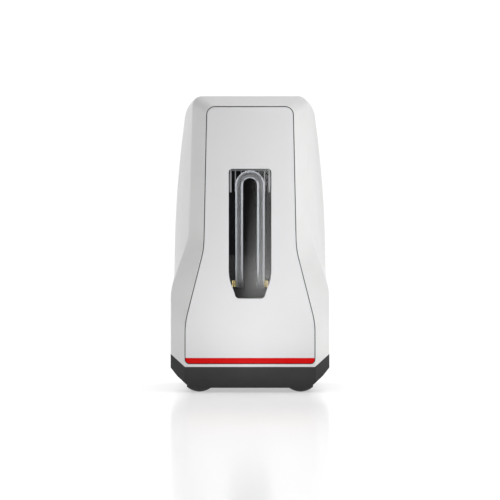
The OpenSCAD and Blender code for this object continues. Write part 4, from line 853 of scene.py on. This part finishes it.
for number, z, side in (("1", 25.65, 1), ("2", 36.95, -1), ("3", 48.25, 1)):
    foot, along = (side * cell_foot, cell_y, z), (-side, 0, 0)
    sleeve, band = turned(sleeve_shape, foot, along, 48), turned(band_shape, foot, along, 48)
    ends = joined(turned(flat_end, foot, along, 40), turned(raised_end, foot, along, 40))
    piece("battery_sleeve_" + number, sleeve, battery_skin, stands_for=["battery_" + number])
    piece("battery_band_" + number, band, copper_film)
    piece("battery_ends_" + number, ends, steel)
    coil = bmesh.new()
    wire_end = Matrix.Translation((spring_x, spring_r, 0))
    bmesh.ops.create_circle(coil, cap_ends=True, segments=10, radius=wire_r, matrix=wire_end)
    bmesh.ops.spin(
        coil, geom=coil.verts[:] + coil.edges[:] + coil.faces[:], cent=(0, 0, 0), axis=(1, 0, 0),
        dvec=(-spring_l / steps, 0, 0), angle=math.radians(360 * turns), steps=steps, use_merge=False,
        use_normal_flip=False, use_duplicate=False,
    )
    for v in coil.verts:
        narrow = mix(1, 0.62, (spring_x - v.co.x) / spring_l)
        v.co = (side * v.co.x, cell_y + v.co.y * narrow, z + v.co.z * narrow)
    bmesh.ops.recalc_face_normals(coil, faces=coil.faces)
    coils.append(coil)
piece("coil_springs", joined(*coils), steel, stands_for=["battery_springs"])

# Screws and nuts. Small bare steel screws throughout, and a steel hexagon nut behind each port. The
# temperature sensor is steel too.
cad_finish(
    steel, "cell_screws", "block_screws", "sensor_board_screws", "port_nuts", "button_board_screws",
    "frame_screws", "board_screws", "housing_screws", "temperature_sensor",
)

# Tube block. A bare machined block of metal behind the cell that grips the tube's root and weighs it down.
# Two piezo ceramics shake the tube and read its pitch.
cad_finish(metal("block_metal", (0.6, 0.6, 0.6), rough=(0.3, 0.42), scratch=(8, 1, 1)), "tube_block")
ceramic = moulded("ceramic", (0.72, 0.68, 0.55), grain=0.2, lift=0.004, gloss=(0.4, 0.5))
cad_finish(ceramic, "piezo_drive", "piezo_pickup")

# Circuit boards. Green glass-fibre boards with ivory connectors, a blue radio module under a sheet-metal
# shield, and black moulded parts. The battery bay's contact plates are of the same sheet metal.
board_green = moulded("board_green", (0.02, 0.12, 0.05), grain=1.0, lift=0.01, gloss=(0.25, 0.4), mottle=0.2)
cad_finish(board_green, "sensor_board", "button_board", "main_board")
board_blue = moulded("board_blue", (0.02, 0.05, 0.2), grain=1.0, lift=0.01, gloss=(0.25, 0.4))
cad_finish(board_blue, "radio_module")
cad_finish(moulded("connector_ivory", (0.75, 0.7, 0.58), grain=0.3), "sensor_connector", "board_connectors")
cad_finish(black_part, "switch_plunger", "tactile_switch", "microcontroller")
cad_finish(moulded("led_white", (0.8, 0.8, 0.7), grain=0.3), "status_led")
cad_finish(metal("shield_metal", (0.7, 0.7, 0.68), rough=(0.25, 0.4)), "radio_shield", "contact_plates")

# Hoses and wiring. Two soft silicone hoses lead from the tube's ends to the ports. An amber flat cable, a
# dark grey ribbon and two red battery leads join the boards.
cad_finish(moulded("flex_amber", (0.55, 0.2, 0.03), grain=0.5, gloss=(0.2, 0.3)), "sensor_flex")
hose_silicone = moulded("hose_silicone", (0.7, 0.7, 0.67), grain=0.8, gloss=(0.3, 0.4))
cad_finish(hose_silicone, "inlet_hose", "outlet_hose")
cad_finish(moulded("button_cable_grey", (0.1, 0.1, 0.11), grain=0.4), "button_cable")
cad_finish(moulded("lead_red", (0.5, 0.02, 0.02), grain=0.4), "battery_leads")

# Inner frame. One dark grey moulding that makes the floor, the battery bay and the pillars for the main
# board, screwed to the tray.
cad_finish(moulded("frame_grey", (0.05, 0.05, 0.052), grain=0.5, lift=0.03), "inner_frame")
